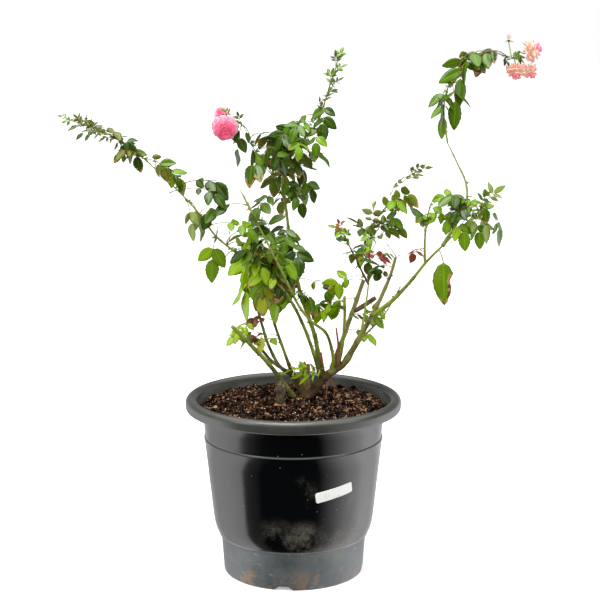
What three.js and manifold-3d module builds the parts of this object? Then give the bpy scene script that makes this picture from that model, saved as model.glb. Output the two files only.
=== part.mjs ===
// Rose bush in its nursery pot. Millimetres, +Z up.
// The origin is the centre of the pot's flat underside; the plant is seen from its front along +Y.
import * as THREE from 'three';
import { mergeVertices } from 'three/addons/utils/BufferGeometryUtils.js';
import Module from 'manifold-3d';

const wasm = await Module();
wasm.setup();

// Clearance kept between neighbouring pieces, and the distance within which vertices are one.
const GAP = 0.3;
const WELD = 1e-4;

// Pot: a stepped foot, a rounded shoulder, a tapering body with a ridge, and a rolled rim.
const POT_HEIGHT = 249;
const POT_WALL = 3;
const POT_FLOOR = 4;
const POT_SEGMENTS = 32;
const FOOT_RADIUS = 98;
const FOOT_TOP_RADIUS = 102;
const FOOT_HEIGHT = 53;
const SHOULDER_HEIGHT = 86;
const SHOULDER_RADIUS = 113;
const SHOULDER_STEP = 3;
const SHOULDER_LIP = 2;
const SHOULDER_ROUND = 15;
const SHOULDER_POINTS = 3;
const RIDGE_HEIGHT = 193;
const RIDGE_RADIUS = 124.5;
const RIDGE_DEPTH = 1.6;
const RIDGE_CHAMFER = 2;
const NECK_HEIGHT = 228;
const NECK_RADIUS = 127;
const NECK_INSIDE_DROP = 6;
const RIM_HEIGHT = 18;
const RIM_RADIUS = 150;
const RIM_WIDTH = 16;
const RIM_ROLL = 6.4;
const RIM_STEPS = 4;
const RIM_UNDERCUT = 2;
const RIM_FILLET = 3;
const MOUTH_TAPER = 3.5;

// Drainage notches where the foot meets the floor.
const NOTCH_COUNT = 4;
const NOTCH_WIDTH = 26;
const NOTCH_TOP_WIDTH = 12;
const NOTCH_DEPTH = 6;
const NOTCH_LIP = 0.5;
const NOTCH_REACH = 18;
const NOTCH_START = THREE.MathUtils.degToRad(-98);

// Potting mix: level round the crown, falling a little to the wall.
const SOIL_CROWN_HEIGHT = 240;
const SOIL_CROWN_RADIUS = 70;
const SOIL_WALL_HEIGHT = 234;

// Limbs are drawn with these facets, and start this far below the soil, which cuts them level.
const LIMB_SIDES = 6;
const LIMB_STEP = 32;
const ROOT_DEPTH = 8;
const THICK_CANE = 3;

// Masses of leaves: levels of detail, and how far broad and fine waves swell their outline.
const FINE_MASS = 2;
const SMALL_MASS = 1;
const FINE_MASS_SIZE = 50;
const BROAD_SWELL = 0.1;
const FINE_SWELL = 0.07;
const BROAD_WAVE = { across: 2.6, deep: 2.2, shift: 1.7 };
const FINE_WAVE = { up: 5.1, across: 4.3, shift: 2.9 };

const MATERIALS = {
  pot: { color: 0x202325, roughness: 0.3 },
  soil: { color: 0x33221a, roughness: 1 },
  oldWood: { color: 0x6f5d45, roughness: 0.9 },
  greenCane: { color: 0x5f7a33, roughness: 0.6 },
  youngCane: { color: 0x7d9a42, roughness: 0.6 },
  leaf: { color: 0x3f7a2c, roughness: 0.7 },
  brightLeaf: { color: 0x7fae3a, roughness: 0.7 },
  redLeaf: { color: 0x7a3a2c, roughness: 0.7 },
  blossom: { color: 0xe88aa8, roughness: 0.7 },
};

// How limbs grow. A limb starts at a `root` on the soil (right, back), or `along` an earlier limb `on`
// (0 its root, 1 its tip), and goes on in runs of [length, lean, swing]. Lean is degrees to the right
// of upright, seen from the front; swing is degrees turned from there to the back. `radii` are at the
// root and the tip.

// Old wood at the foot, from the soil up to where the canes part.
const FOOT_WOOD = {
  main_crown: { root: [25, 30], radii: [11, 7], runs: [[20, 20, 0], [22, 35, 5]] },
  side_crown: { root: [16, 30], radii: [8, 5.5], runs: [[20, -15, 10], [25, -35, 25]] },
  old_stump: { root: [14, 62], radii: [8, 7], runs: [[52, 5, 0]] },
  grey_stub: { root: [-12, -8], radii: [4.6, 3.8], runs: [[40, -15, 10]] },
};

// Canes and boughs. What a cane shares with the limb it grows from is cut away.
const CANES = {
  right_cane: {
    on: 'main_crown', along: 0.95, radii: [5.4, 2.6],
    runs: [[30, 55, -10], [40, 30, -15], [100, 25, -15], [45, 15, -15]],
  },
  centre_cane: {
    on: 'main_crown', along: 0.85, radii: [3.5, 1],
    runs: [[70, -10, 5], [50, -20, 5], [120, -10, 5], [55, -5, 5], [40, 25, 0], [35, 45, 5], [100, 20, 5]],
  },
  left_cane: {
    on: 'main_crown', along: 0.8, radii: [2.8, 0.9],
    runs: [
      [50, -15, -15], [55, -20, -15], [60, -30, -20], [110, -50, -15],
      [50, -35, -15], [120, -45, -10], [45, -60, -10], [40, -70, -5],
    ],
  },
  cut_cane: { root: [7, 22], radii: [3.2, 2.8], runs: [[75, -35, -10], [80, -40, -20]] },
  knotty_cane: { on: 'side_crown', along: 0.95, radii: [2.4, 2.2], runs: [[40, -60, 20], [35, -40, 25]] },
  leaning_cane: {
    on: 'side_crown', along: 0.8, radii: [2.6, 1.6],
    runs: [[35, -50, 10], [85, -20, 15], [65, -10, 10], [65, 0, 5]],
  },
  slim_cane: {
    on: 'side_crown', along: 1, radii: [2.4, 1.4],
    runs: [[90, -20, 20], [95, -15, 25], [55, 10, 20]],
  },
  crossing_cane: {
    on: 'right_cane', along: 0.08, radii: [2.4, 1.4],
    runs: [[60, -10, -20], [45, -45, -20], [115, -25, -30], [105, -25, -20]],
  },
  fork_cane: { on: 'right_cane', along: 0.05, radii: [3.6, 2.8], runs: [[50, 20, 10], [90, 20, 10]] },
  side_stub: { on: 'fork_cane', along: 0.65, radii: [3.4, 3], runs: [[40, 60, 15]] },
  upright_stub: { on: 'right_cane', along: 0.1, radii: [2.4, 2], runs: [[55, 10, -20], [65, 0, -20]] },
  whip_cane: { on: 'right_cane', along: 0.35, radii: [1.8, 1], runs: [[60, 40, -25], [55, 25, -25]] },
  right_bough: {
    on: 'right_cane', along: 0.55, radii: [3.8, 1], runs: [[60, 45, -30], [55, 35, -20], [125, 40, -25]],
  },
  tall_shoot: { on: 'right_bough', along: 0.65, radii: [2.6, 1.9], runs: [[80, 30, 25], [80, -20, 25]] },
  tall_arch: {
    on: 'tall_shoot', along: 1, radii: [1.8, 0.8],
    runs: [[50, -5, 15], [35, 15, 20], [40, 45, 20], [40, 70, 20], [30, 105, 20]],
  },
  bloom_branch: {
    on: 'centre_cane', along: 0.55, radii: [1.8, 1.2],
    runs: [[60, -25, -25], [40, -35, -30], [40, -20, -25], [20, -65, -30]],
  },
  rear_twig: { on: 'right_cane', along: 0.4, radii: [2, 1.1], runs: [[60, 10, 20], [105, 5, 35]] },
  front_twig: { on: 'rear_twig', along: 0.45, radii: [1.5, 0.9], runs: [[125, -25, -40]] },
  inner_shoot: { on: 'right_bough', along: 0.5, radii: [1.7, 1], runs: [[55, -5, -35], [50, 5, -35]] },
};

// Masses of leaves and bloom. Each is centred `along` the limb it is `on`, moved by `off` (right, back,
// up); `half` are its half sizes and `lean` turns it about the front axis, in degrees.
const MASSES = {
  tip_leaves_left: { on: 'left_cane', along: 0.95, off: [0, 0, -5], half: [31, 24, 17], lean: 15 },
  outer_leaves_left: { on: 'left_cane', along: 0.85, off: [0, 0, -5], half: [24, 26, 20], lean: 25 },
  middle_leaves_left: { on: 'left_cane', along: 0.73, off: [5, -5, -5], half: [34, 30, 26], lean: 35 },
  inner_leaves_left: { on: 'left_cane', along: 0.62, off: [5, 0, 5], half: [26, 28, 26], lean: 50 },
  hanging_leaves_left: { on: 'left_cane', along: 0.52, off: [-20, 0, -35], half: [22, 24, 43] },
  tip_leaves_top: { on: 'centre_cane', along: 0.88, off: [5, -5, 10], half: [20, 24, 46], lean: 18 },
  head_leaves: { on: 'centre_cane', along: 0.68, off: [10, -25, 10], half: [48, 44, 42] },
  head_leaves_left: { on: 'bloom_branch', along: 0.5, off: [-20, -5, 0], half: [22, 26, 36] },
  rear_head_leaves: { on: 'centre_cane', along: 0.6, off: [0, 65, 0], half: [46, 38, 48] },
  shoulder_leaves_left: { on: 'crossing_cane', along: 0.93, off: [-10, 25, 5], half: [34, 34, 30], lean: 10 },
  shoulder_leaves_right: { on: 'centre_cane', along: 0.54, off: [25, 5, 0], half: [30, 32, 26], lean: -10 },
  heart_leaves_upper: { on: 'crossing_cane', along: 0.77, off: [-5, 50, 0], half: [54, 50, 30] },
  heart_leaves_lower: { on: 'crossing_cane', along: 0.6, off: [-10, 35, 0], half: [54, 52, 34] },
  rear_heart_leaves: { on: 'slim_cane', along: 0.8, off: [5, -5, 0], half: [50, 44, 52] },
  bright_leaves_low: {
    on: 'leaning_cane', along: 0.48, off: [0, -35, 0], half: [30, 30, 28], leaf: 'brightLeaf',
  },
  leaves_low_left: {
    on: 'cut_cane', along: 0.8, off: [-5, 35, 0], half: [34, 28, 20], lean: 20, leaf: 'brightLeaf',
  },
  leaves_low_centre: { on: 'centre_cane', along: 0.22, off: [25, -5, 0], half: [24, 26, 30] },
  sprout_leaves: {
    on: 'side_crown', along: 0.5, off: [-15, -10, 20], half: [22, 18, 17], leaf: 'brightLeaf',
  },
  twig_leaves_front: { on: 'front_twig', along: 1, off: [-10, -5, 5], half: [22, 22, 19] },
  leaves_mid_right: { on: 'rear_twig', along: 0.65, off: [-5, -20, 5], half: [28, 26, 23] },
  leaves_rear_right: { on: 'rear_twig', along: 1, off: [0, 5, 10], half: [34, 34, 24] },
  leaves_upper_right: { on: 'rear_twig', along: 1, off: [50, -10, 30], half: [24, 30, 34], lean: 20 },
  tip_leaves_rear: { on: 'rear_twig', along: 1, off: [70, 25, 80], half: [26, 26, 15], lean: -20 },
  leaves_inner_right: { on: 'inner_shoot', along: 0.85, off: [10, 0, 5], half: [27, 30, 28] },
  red_leaves: { on: 'right_cane', along: 1, off: [5, -5, -5], half: [24, 22, 18], leaf: 'redLeaf' },
  leaves_low_right: { on: 'right_cane', along: 0.5, off: [10, 20, 0], half: [20, 24, 30] },
  hanging_leaf_right: { on: 'right_bough', along: 0.6, off: [10, -15, -40], half: [12, 7, 29] },
  bough_tip_leaves: { on: 'right_bough', along: 1, off: [5, 0, -35], half: [26, 28, 44], lean: -12 },
  arch_leaves_low: { on: 'tall_arch', along: 0.17, off: [-5, 0, 0], half: [31, 28, 44] },
  arch_leaves_high: { on: 'tall_arch', along: 0.5, half: [18, 24, 26], lean: 25 },
  arch_tip_leaves: { on: 'tall_arch', along: 0.72, half: [19, 22, 22] },
  blooms_right: { on: 'tall_arch', along: 1, off: [15, 5, 0], half: [27, 26, 30], leaf: 'blossom' },
  bloom_left: {
    on: 'bloom_branch', along: 1, off: [-8, -5, -8], half: [17, 17, 22], lean: 10, leaf: 'blossom',
  },
};

/** A manifold-3d solid with the same surface as a closed geometry. */
function toSolid(geometry) {
  const plain = geometry.clone();
  plain.deleteAttribute('normal');
  plain.deleteAttribute('uv');
  const merged = mergeVertices(plain, WELD);
  const mesh = new wasm.Mesh({
    numProp: 3,
    vertProperties: new Float32Array(merged.attributes.position.array),
    triVerts: new Uint32Array(merged.index.array),
  });
  return new wasm.Manifold(mesh);
}

/** A three.js geometry with the surface of a manifold-3d solid. */
function toGeometry(solid) {
  const mesh = solid.getMesh();
  const geometry = new THREE.BufferGeometry();
  geometry.setAttribute('position', new THREE.BufferAttribute(new Float32Array(mesh.vertProperties), 3));
  geometry.setIndex(new THREE.BufferAttribute(new Uint32Array(mesh.triVerts), 1));
  geometry.computeVertexNormals();
  return geometry;
}

/** The largest separate body of a solid that cutting may have left in several. */
function largestBody(solid) {
  return solid.decompose().reduce((best, body) => (body.volume() > best.volume() ? body : best));
}

/** The outside of the pot from its foot to its neck, as radius and height. */
function outerProfile() {
  const points = [new THREE.Vector2(FOOT_RADIUS, 0), new THREE.Vector2(FOOT_TOP_RADIUS, FOOT_HEIGHT)];
  const shoulder = new THREE.QuadraticBezierCurve(
    new THREE.Vector2(FOOT_TOP_RADIUS + SHOULDER_STEP, FOOT_HEIGHT + SHOULDER_LIP),
    new THREE.Vector2(SHOULDER_RADIUS - SHOULDER_LIP, FOOT_HEIGHT + SHOULDER_ROUND),
    new THREE.Vector2(SHOULDER_RADIUS, SHOULDER_HEIGHT),
  );
  points.push(...shoulder.getPoints(SHOULDER_POINTS));
  points.push(new THREE.Vector2(RIDGE_RADIUS, RIDGE_HEIGHT));
  points.push(new THREE.Vector2(RIDGE_RADIUS - RIDGE_DEPTH, RIDGE_HEIGHT + RIDGE_CHAMFER));
  points.push(new THREE.Vector2(NECK_RADIUS, NECK_HEIGHT));
  return points;
}

/** The rolled rim in section, from under its outer edge over the top to its inner lip. */
function rimProfile() {
  const bulge = RIM_WIDTH / 2;
  const middle = RIM_RADIUS - bulge;
  const bottom = POT_HEIGHT - RIM_HEIGHT;
  const points = [
    new THREE.Vector2(NECK_RADIUS + RIM_FILLET, bottom),
    new THREE.Vector2(RIM_RADIUS - RIM_UNDERCUT, bottom),
  ];
  for (let step = 0; step <= RIM_STEPS; step += 1) {
    const angle = (step / RIM_STEPS) * Math.PI;
    const x = middle + bulge * Math.cos(angle);
    const y = POT_HEIGHT - RIM_ROLL + RIM_ROLL * Math.sin(angle);
    points.push(new THREE.Vector2(x, y));
  }
  return points;
}

/** The inside of the wall from the mouth down to the floor, `inset` further in. */
function innerProfile(inset) {
  const mouth = RIM_RADIUS - RIM_WIDTH;
  return [
    new THREE.Vector2(mouth - MOUTH_TAPER - inset, SOIL_WALL_HEIGHT),
    new THREE.Vector2(NECK_RADIUS - POT_WALL - inset, NECK_HEIGHT - NECK_INSIDE_DROP),
    new THREE.Vector2(RIDGE_RADIUS - RIDGE_DEPTH - POT_WALL - inset, RIDGE_HEIGHT),
    new THREE.Vector2(SHOULDER_RADIUS - POT_WALL - inset, SHOULDER_HEIGHT),
    new THREE.Vector2(FOOT_TOP_RADIUS - POT_WALL - inset, FOOT_HEIGHT),
    new THREE.Vector2(FOOT_RADIUS - POT_WALL - inset, POT_FLOOR + inset),
  ];
}

/** What one drainage notch cuts away, on the +X side: a slot through the foot, narrower at its top. */
function notchGeometry() {
  const half = NOTCH_WIDTH / 2;
  const top = NOTCH_TOP_WIDTH / 2;
  const outline = new THREE.Shape([
    new THREE.Vector2(-half, -NOTCH_DEPTH),
    new THREE.Vector2(half, -NOTCH_DEPTH),
    new THREE.Vector2(half, NOTCH_LIP),
    new THREE.Vector2(top, NOTCH_DEPTH),
    new THREE.Vector2(-top, NOTCH_DEPTH),
    new THREE.Vector2(-half, NOTCH_LIP),
  ]);
  const slot = new THREE.ExtrudeGeometry(outline, { depth: NOTCH_REACH * 2, bevelEnabled: false });
  const sideways = new THREE.Vector3(0, 1, 0);
  const upward = new THREE.Vector3(0, 0, 1);
  const outward = new THREE.Vector3(1, 0, 0);
  slot.applyMatrix4(new THREE.Matrix4().makeBasis(sideways, upward, outward));
  slot.translate(FOOT_RADIUS - NOTCH_REACH, 0, 0);
  return slot;
}

/** The pot: a turned shell with drainage notches cut at the foot. */
function potSolid() {
  const axisBottom = new THREE.Vector2(0, 0);
  const axisFloor = new THREE.Vector2(0, POT_FLOOR);
  const profile = [axisBottom, ...outerProfile(), ...rimProfile(), ...innerProfile(0), axisFloor];
  const shell = new THREE.LatheGeometry(profile, POT_SEGMENTS);
  shell.rotateX(Math.PI / 2);
  let pot = toSolid(shell);
  for (let i = 0; i < NOTCH_COUNT; i += 1) {
    const angle = NOTCH_START + (i * 2 * Math.PI) / NOTCH_COUNT;
    pot = pot.subtract(toSolid(notchGeometry().rotateZ(angle)));
  }
  return pot;
}

/** The potting mix that fills the pot to below its rim. */
function soilSolid() {
  const profile = [
    new THREE.Vector2(0, POT_FLOOR + GAP),
    ...innerProfile(GAP).reverse(),
    new THREE.Vector2(SOIL_CROWN_RADIUS, SOIL_CROWN_HEIGHT),
    new THREE.Vector2(0, SOIL_CROWN_HEIGHT),
  ];
  const soil = new THREE.LatheGeometry(profile, POT_SEGMENTS);
  soil.rotateX(Math.PI / 2);
  return toSolid(soil);
}

/** The step of one run of a limb: its length, leaning from upright and swung to the back. */
function runStep([length, lean, swing]) {
  const right = THREE.MathUtils.degToRad(lean);
  const back = THREE.MathUtils.degToRad(swing);
  const step = new THREE.Vector3(
    Math.sin(right) * Math.cos(back),
    Math.sin(back),
    Math.cos(right) * Math.cos(back),
  );
  return step.multiplyScalar(length);
}

/** The smooth centreline of a limb, from the soil or from the limb that bears it. */
function limbCurve(limb, curves) {
  const start = limb.root
    ? new THREE.Vector3(...limb.root, SOIL_CROWN_HEIGHT - ROOT_DEPTH)
    : curves[limb.on].getPointAt(limb.along);
  const points = [start];
  for (const run of limb.runs) {
    points.push(points.at(-1).clone().add(runStep(run)));
  }
  return new THREE.CatmullRomCurve3(points);
}

/** A tapering limb: a closed cylinder bent along its centreline, `growth` thicker than its radii. */
function limbSolid(curve, [base, tip], growth = 0) {
  const steps = Math.max(2, Math.round(curve.getLength() / LIMB_STEP));
  const frames = curve.computeFrenetFrames(steps, false);
  const limb = new THREE.CylinderGeometry(tip + growth, base + growth, 1, LIMB_SIDES, steps);
  const positions = limb.attributes.position;
  for (let i = 0; i < positions.count; i += 1) {
    const along = positions.getY(i) + 0.5;
    const ring = Math.round(along * steps);
    const point = curve.getPointAt(ring / steps);
    point.addScaledVector(frames.binormals[ring], positions.getX(i));
    point.addScaledVector(frames.normals[ring], positions.getZ(i));
    positions.setXYZ(i, point.x, point.y, point.z);
  }
  return toSolid(limb);
}

/** How far a mass swells in one direction, so that no two masses have the same outline. */
function swell(direction, seed) {
  const broad = Math.sin(BROAD_WAVE.across * direction.x + BROAD_WAVE.shift * seed)
    * Math.cos(BROAD_WAVE.deep * direction.y + seed);
  const fine = Math.sin(FINE_WAVE.up * direction.z + FINE_WAVE.across * direction.x + FINE_WAVE.shift * seed);
  return 1 + BROAD_SWELL * broad + FINE_SWELL * fine;
}

/** An uneven closed mass of leaves on its limb, `growth` larger all round. */
function massSolid({ on, along, off = [0, 0, 0], half, lean = 0 }, curves, seed, growth = 0) {
  const detail = Math.max(...half) >= FINE_MASS_SIZE ? FINE_MASS : SMALL_MASS;
  const mass = new THREE.IcosahedronGeometry(1, detail);
  const positions = mass.attributes.position;
  const direction = new THREE.Vector3();
  for (let i = 0; i < positions.count; i += 1) {
    direction.fromBufferAttribute(positions, i);
    const swollen = swell(direction, seed);
    positions.setXYZ(
      i,
      direction.x * (half[0] * swollen + growth),
      direction.y * (half[1] * swollen + growth),
      direction.z * (half[2] * swollen + growth),
    );
  }
  mass.rotateY(THREE.MathUtils.degToRad(lean));
  const centre = curves[on].getPointAt(along).add(new THREE.Vector3(...off));
  mass.translate(centre.x, centre.y, centre.z);
  return toSolid(mass);
}

/** A named mesh of one of the materials. */
function pieceMesh(name, solid, material) {
  const mesh = new THREE.Mesh(toGeometry(solid), new THREE.MeshStandardMaterial(MATERIALS[material]));
  mesh.material.metalness = 0;
  mesh.name = name;
  return mesh;
}

/** Cuts a new piece back from every piece placed before it and keeps its largest body. */
function cutClear(solid, placed) {
  const box = solid.boundingBox();
  const isNear = (other) => [0, 1, 2].every(
    (axis) => other.min[axis] <= box.max[axis] && other.max[axis] >= box.min[axis],
  );
  const cut = placed.reduce(
    (rest, piece) => (isNear(piece.boundingBox()) ? rest.subtract(piece) : rest),
    solid,
  );
  return largestBody(cut);
}

const roseBush = new THREE.Group();
roseBush.name = 'rose_bush';
roseBush.add(pieceMesh('pot', potSolid(), 'pot'));
roseBush.add(pieceMesh('soil', soilSolid(), 'soil'));

// Everything that grows is placed in turn, with a grown copy kept to cut the pieces after it.
const placed = [];
const curves = {};

for (const [name, limb] of Object.entries({ ...FOOT_WOOD, ...CANES })) {
  curves[name] = limbCurve(limb, curves);
  const cutAtSoil = limbSolid(curves[name], limb.radii).trimByPlane([0, 0, 1], SOIL_CROWN_HEIGHT + GAP);
  const cane = limb.radii[0] > THICK_CANE ? 'greenCane' : 'youngCane';
  roseBush.add(pieceMesh(name, cutClear(cutAtSoil, placed), name in FOOT_WOOD ? 'oldWood' : cane));
  placed.push(limbSolid(curves[name], limb.radii, GAP));
}

Object.entries(MASSES).forEach(([name, mass], index) => {
  const solid = cutClear(massSolid(mass, curves, index), placed);
  roseBush.add(pieceMesh(name, solid, mass.leaf ?? 'leaf'));
  placed.push(massSolid(mass, curves, index, GAP));
});

export default roseBush;
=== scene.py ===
import heapq
import math
import random
from collections import defaultdict

import bmesh
import bpy
from mathutils import Matrix, Vector, noise
from mathutils.bvhtree import BVHTree


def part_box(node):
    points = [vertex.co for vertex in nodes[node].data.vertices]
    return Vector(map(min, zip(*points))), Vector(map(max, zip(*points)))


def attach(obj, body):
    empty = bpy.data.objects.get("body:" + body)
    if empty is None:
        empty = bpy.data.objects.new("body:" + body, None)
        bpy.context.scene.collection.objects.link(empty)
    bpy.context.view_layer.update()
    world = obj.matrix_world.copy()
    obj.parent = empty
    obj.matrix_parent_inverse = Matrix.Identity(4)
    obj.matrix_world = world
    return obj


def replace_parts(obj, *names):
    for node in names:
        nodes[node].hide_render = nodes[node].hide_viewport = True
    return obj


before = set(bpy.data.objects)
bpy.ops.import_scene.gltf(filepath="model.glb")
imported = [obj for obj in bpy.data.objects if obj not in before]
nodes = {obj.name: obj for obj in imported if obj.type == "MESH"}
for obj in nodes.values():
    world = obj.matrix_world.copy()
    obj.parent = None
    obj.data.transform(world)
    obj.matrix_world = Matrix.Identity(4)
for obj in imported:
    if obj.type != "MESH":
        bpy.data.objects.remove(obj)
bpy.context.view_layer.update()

# Metres, +Z up, the front towards -Y. The origin is the centre of the pot's flat underside.
MM = 0.001
UP = Vector((0, 0, 1))
GOLDEN_ANGLE = math.radians(137.5)
SEED = 20
NOISE_SEED = 20             # Blender's noise vectors would follow the clock without one
SOIL_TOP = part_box("soil")[1].z

rng = random.Random(SEED)
noise.seed_set(NOISE_SEED)


# ---------------------------------------------------------------- materials

def linear(hex_colour):
    """Linear RGBA from a hex colour such as 0x3F7A2C."""
    channels = [((hex_colour >> shift) & 255) / 255 for shift in (16, 8, 0)]
    return [c / 12.92 if c <= 0.04045 else ((c + 0.055) / 1.055) ** 2.4 for c in channels] + [1.0]


def new_material(name):
    """An empty node material and its Principled shader."""
    material = bpy.data.materials.new(name)
    material.use_nodes = True
    return material, material.node_tree.nodes["Principled BSDF"]


def plain(name, hex_colour, roughness=0.5, specular=0.5, **settings):
    """A plain base colour, for leaves, petals and other small things."""
    material, shader = new_material(name)
    shader.inputs["Base Color"].default_value = linear(hex_colour)
    shader.inputs["Roughness"].default_value = roughness
    shader.inputs["Specular IOR Level"].default_value = specular
    for socket, value in settings.items():
        shader.inputs[socket.replace("_", " ")].default_value = value
    return material


def petal_material(name, hex_colour):
    """A petal: soft, a little downy, lit through, and given a faint painted glow in its own colour, so that
    it stays bright in shade.
    """
    return plain("petal_" + name, hex_colour, 0.7, 0.2, Sheen_Weight=0.1, Subsurface_Weight=0.25,
                 Subsurface_Radius=(1.0, 0.5, 0.6), Subsurface_Scale=1 * MM,
                 Emission_Color=linear(hex_colour), Emission_Strength=0.22)


class Nodes:
    """Short calls for building the node tree of a material or the world, patterned in object space."""

    def __init__(self, owner):
        self.tree = owner.node_tree
        self.places = self.add("ShaderNodeTexCoord").outputs
        self.position = self.places["Object"]

    def add(self, kind, **settings):
        node = self.tree.nodes.new(kind)
        for key, value in settings.items():
            setattr(node, key, value)
        return node

    def link(self, source, target):
        self.tree.links.new(source, target)

    def stretched(self, scale):
        """The object position with each axis scaled."""
        mapping = self.add("ShaderNodeMapping")
        mapping.inputs["Scale"].default_value = scale
        self.link(self.position, mapping.inputs["Vector"])
        return mapping.outputs["Vector"]

    def noise(self, scale, detail=4.0, roughness=0.55, stretch=None):
        node = self.add("ShaderNodeTexNoise")
        node.inputs["Scale"].default_value = scale
        node.inputs["Detail"].default_value = detail
        node.inputs["Roughness"].default_value = roughness
        self.link(self.stretched(stretch) if stretch else self.position, node.inputs["Vector"])
        return node.outputs["Fac"]

    def cells(self, scale):
        """Distance to the nearest of many scattered points."""
        node = self.add("ShaderNodeTexVoronoi")
        node.inputs["Scale"].default_value = scale
        self.link(self.position, node.inputs["Vector"])
        return node.outputs["Distance"]

    def ramp(self, value, low, high, start=0.0, end=1.0, style="SMOOTHSTEP"):
        """value from low to high mapped to start to end, clamped."""
        node = self.add("ShaderNodeMapRange", interpolation_type=style)
        for socket, number in zip(node.inputs[1:5], (low, high, start, end)):
            socket.default_value = number
        self.link(value, node.inputs[0])
        return node.outputs[0]

    def math(self, operation, first, second):
        node = self.add("ShaderNodeMath", operation=operation)
        for socket, value in zip(node.inputs, (first, second)):
            if isinstance(value, (int, float)):
                socket.default_value = value
            else:
                self.link(value, socket)
        return node.outputs[0]

    def near(self, centre, inner, outer):
        """One within the inner distance of a point, nothing beyond the outer one."""
        node = self.add("ShaderNodeVectorMath", operation="DISTANCE")
        self.link(self.position, node.inputs[0])
        node.inputs[1].default_value = centre
        return self.ramp(node.outputs["Value"], inner, outer, 1.0, 0.0)

    def mix(self, factor, first, second):
        """Two colours mixed by a factor. Each is a hex colour, a shade of grey as a float, or a socket."""
        node = self.add("ShaderNodeMix", data_type="RGBA")
        self.link(factor, node.inputs["Factor"])
        for name, value in (("A", first), ("B", second)):
            socket = [s for s in node.inputs if s.name == name and s.type == "RGBA"][0]
            if isinstance(value, int):
                socket.default_value = linear(value)
            elif isinstance(value, float):
                socket.default_value = (value, value, value, 1)
            else:
                self.link(value, socket)
        return [s for s in node.outputs if s.type == "RGBA"][0]

    def parts(self, vector):
        """The X, Y and Z outputs of a vector."""
        node = self.add("ShaderNodeSeparateXYZ")
        self.link(vector, node.inputs[0])
        return node.outputs

    def bump(self, shader, height, strength, distance):
        node = self.add("ShaderNodeBump")
        node.inputs["Strength"].default_value = strength
        node.inputs["Distance"].default_value = distance
        self.link(height, node.inputs["Height"])
        self.link(node.outputs["Normal"], shader.inputs["Normal"])


EARTHY_TO = 110 * MM    # bark is browner up to this height above the potting mix


def bark_material(name, base, blotch, dark, streak=0.45, roughness=0.5, earthy=0.18):
    """Cane bark: soft blotches, fine dark flecks, a rough skin, and browner wood near the soil."""
    material, shader = new_material(name)
    n = Nodes(material)
    height = n.parts(n.position)["Z"]
    low = n.ramp(height, SOIL_TOP + 5 * MM, SOIL_TOP + EARTHY_TO, earthy, 0.0)
    patches = n.math("ADD", n.noise(55, 5, 0.6, stretch=(1, 1, 0.45)), low)
    blotches = n.ramp(patches, streak, streak + 0.2)
    scabs = n.ramp(n.math("ADD", n.noise(90, 5, 0.7), n.math("MULTIPLY", low, 0.5)), 0.62, 0.7)
    flecks = n.ramp(n.noise(420, 3, 0.6, stretch=(1, 1, 0.5)), 0.6, 0.7)
    colour = n.mix(blotches, base, blotch)
    colour = n.mix(n.math("MULTIPLY", scabs, 0.8), colour, dark)
    n.link(n.mix(n.math("MULTIPLY", flecks, 0.7), colour, dark), shader.inputs["Base Color"])
    n.link(n.ramp(blotches, 0, 1, roughness, roughness + 0.3), shader.inputs["Roughness"])
    n.bump(shader, n.noise(600, 5, 0.65, stretch=(1, 1, 0.35)), 0.6, 0.5 * MM)
    return material


# Dusty places on the wall of the pot: centre, and the distances where the dust begins to fade and ends.
DUSTY = (
    ((-0.022, -0.108, 0.080), 0.004, 0.034), ((0.012, -0.110, 0.068), 0.010, 0.042),
    ((0.056, -0.094, 0.066), 0.008, 0.045), ((0.012, -0.117, 0.150), 0.002, 0.026),
    ((0.085, -0.080, 0.100), 0.005, 0.050), ((-0.080, 0.080, 0.100), 0.020, 0.080),
)
RIDGE_HIGHLIGHT = (0.1935, 0.0016)      # height of each ledge on the pot that carries a painted highlight line, and half its width
STEP_HIGHLIGHT = (0.0555, 0.002)


def highlight_band(n, height, level, half):
    """One at a level of the pot, where a painted highlight line runs along a ledge, fading over half above
    and below.
    """
    above = n.ramp(height, level - half, level, 0.0, 1.0)
    return n.math("MULTIPLY", above, n.ramp(height, level, level + half, 1.0, 0.0))


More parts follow.
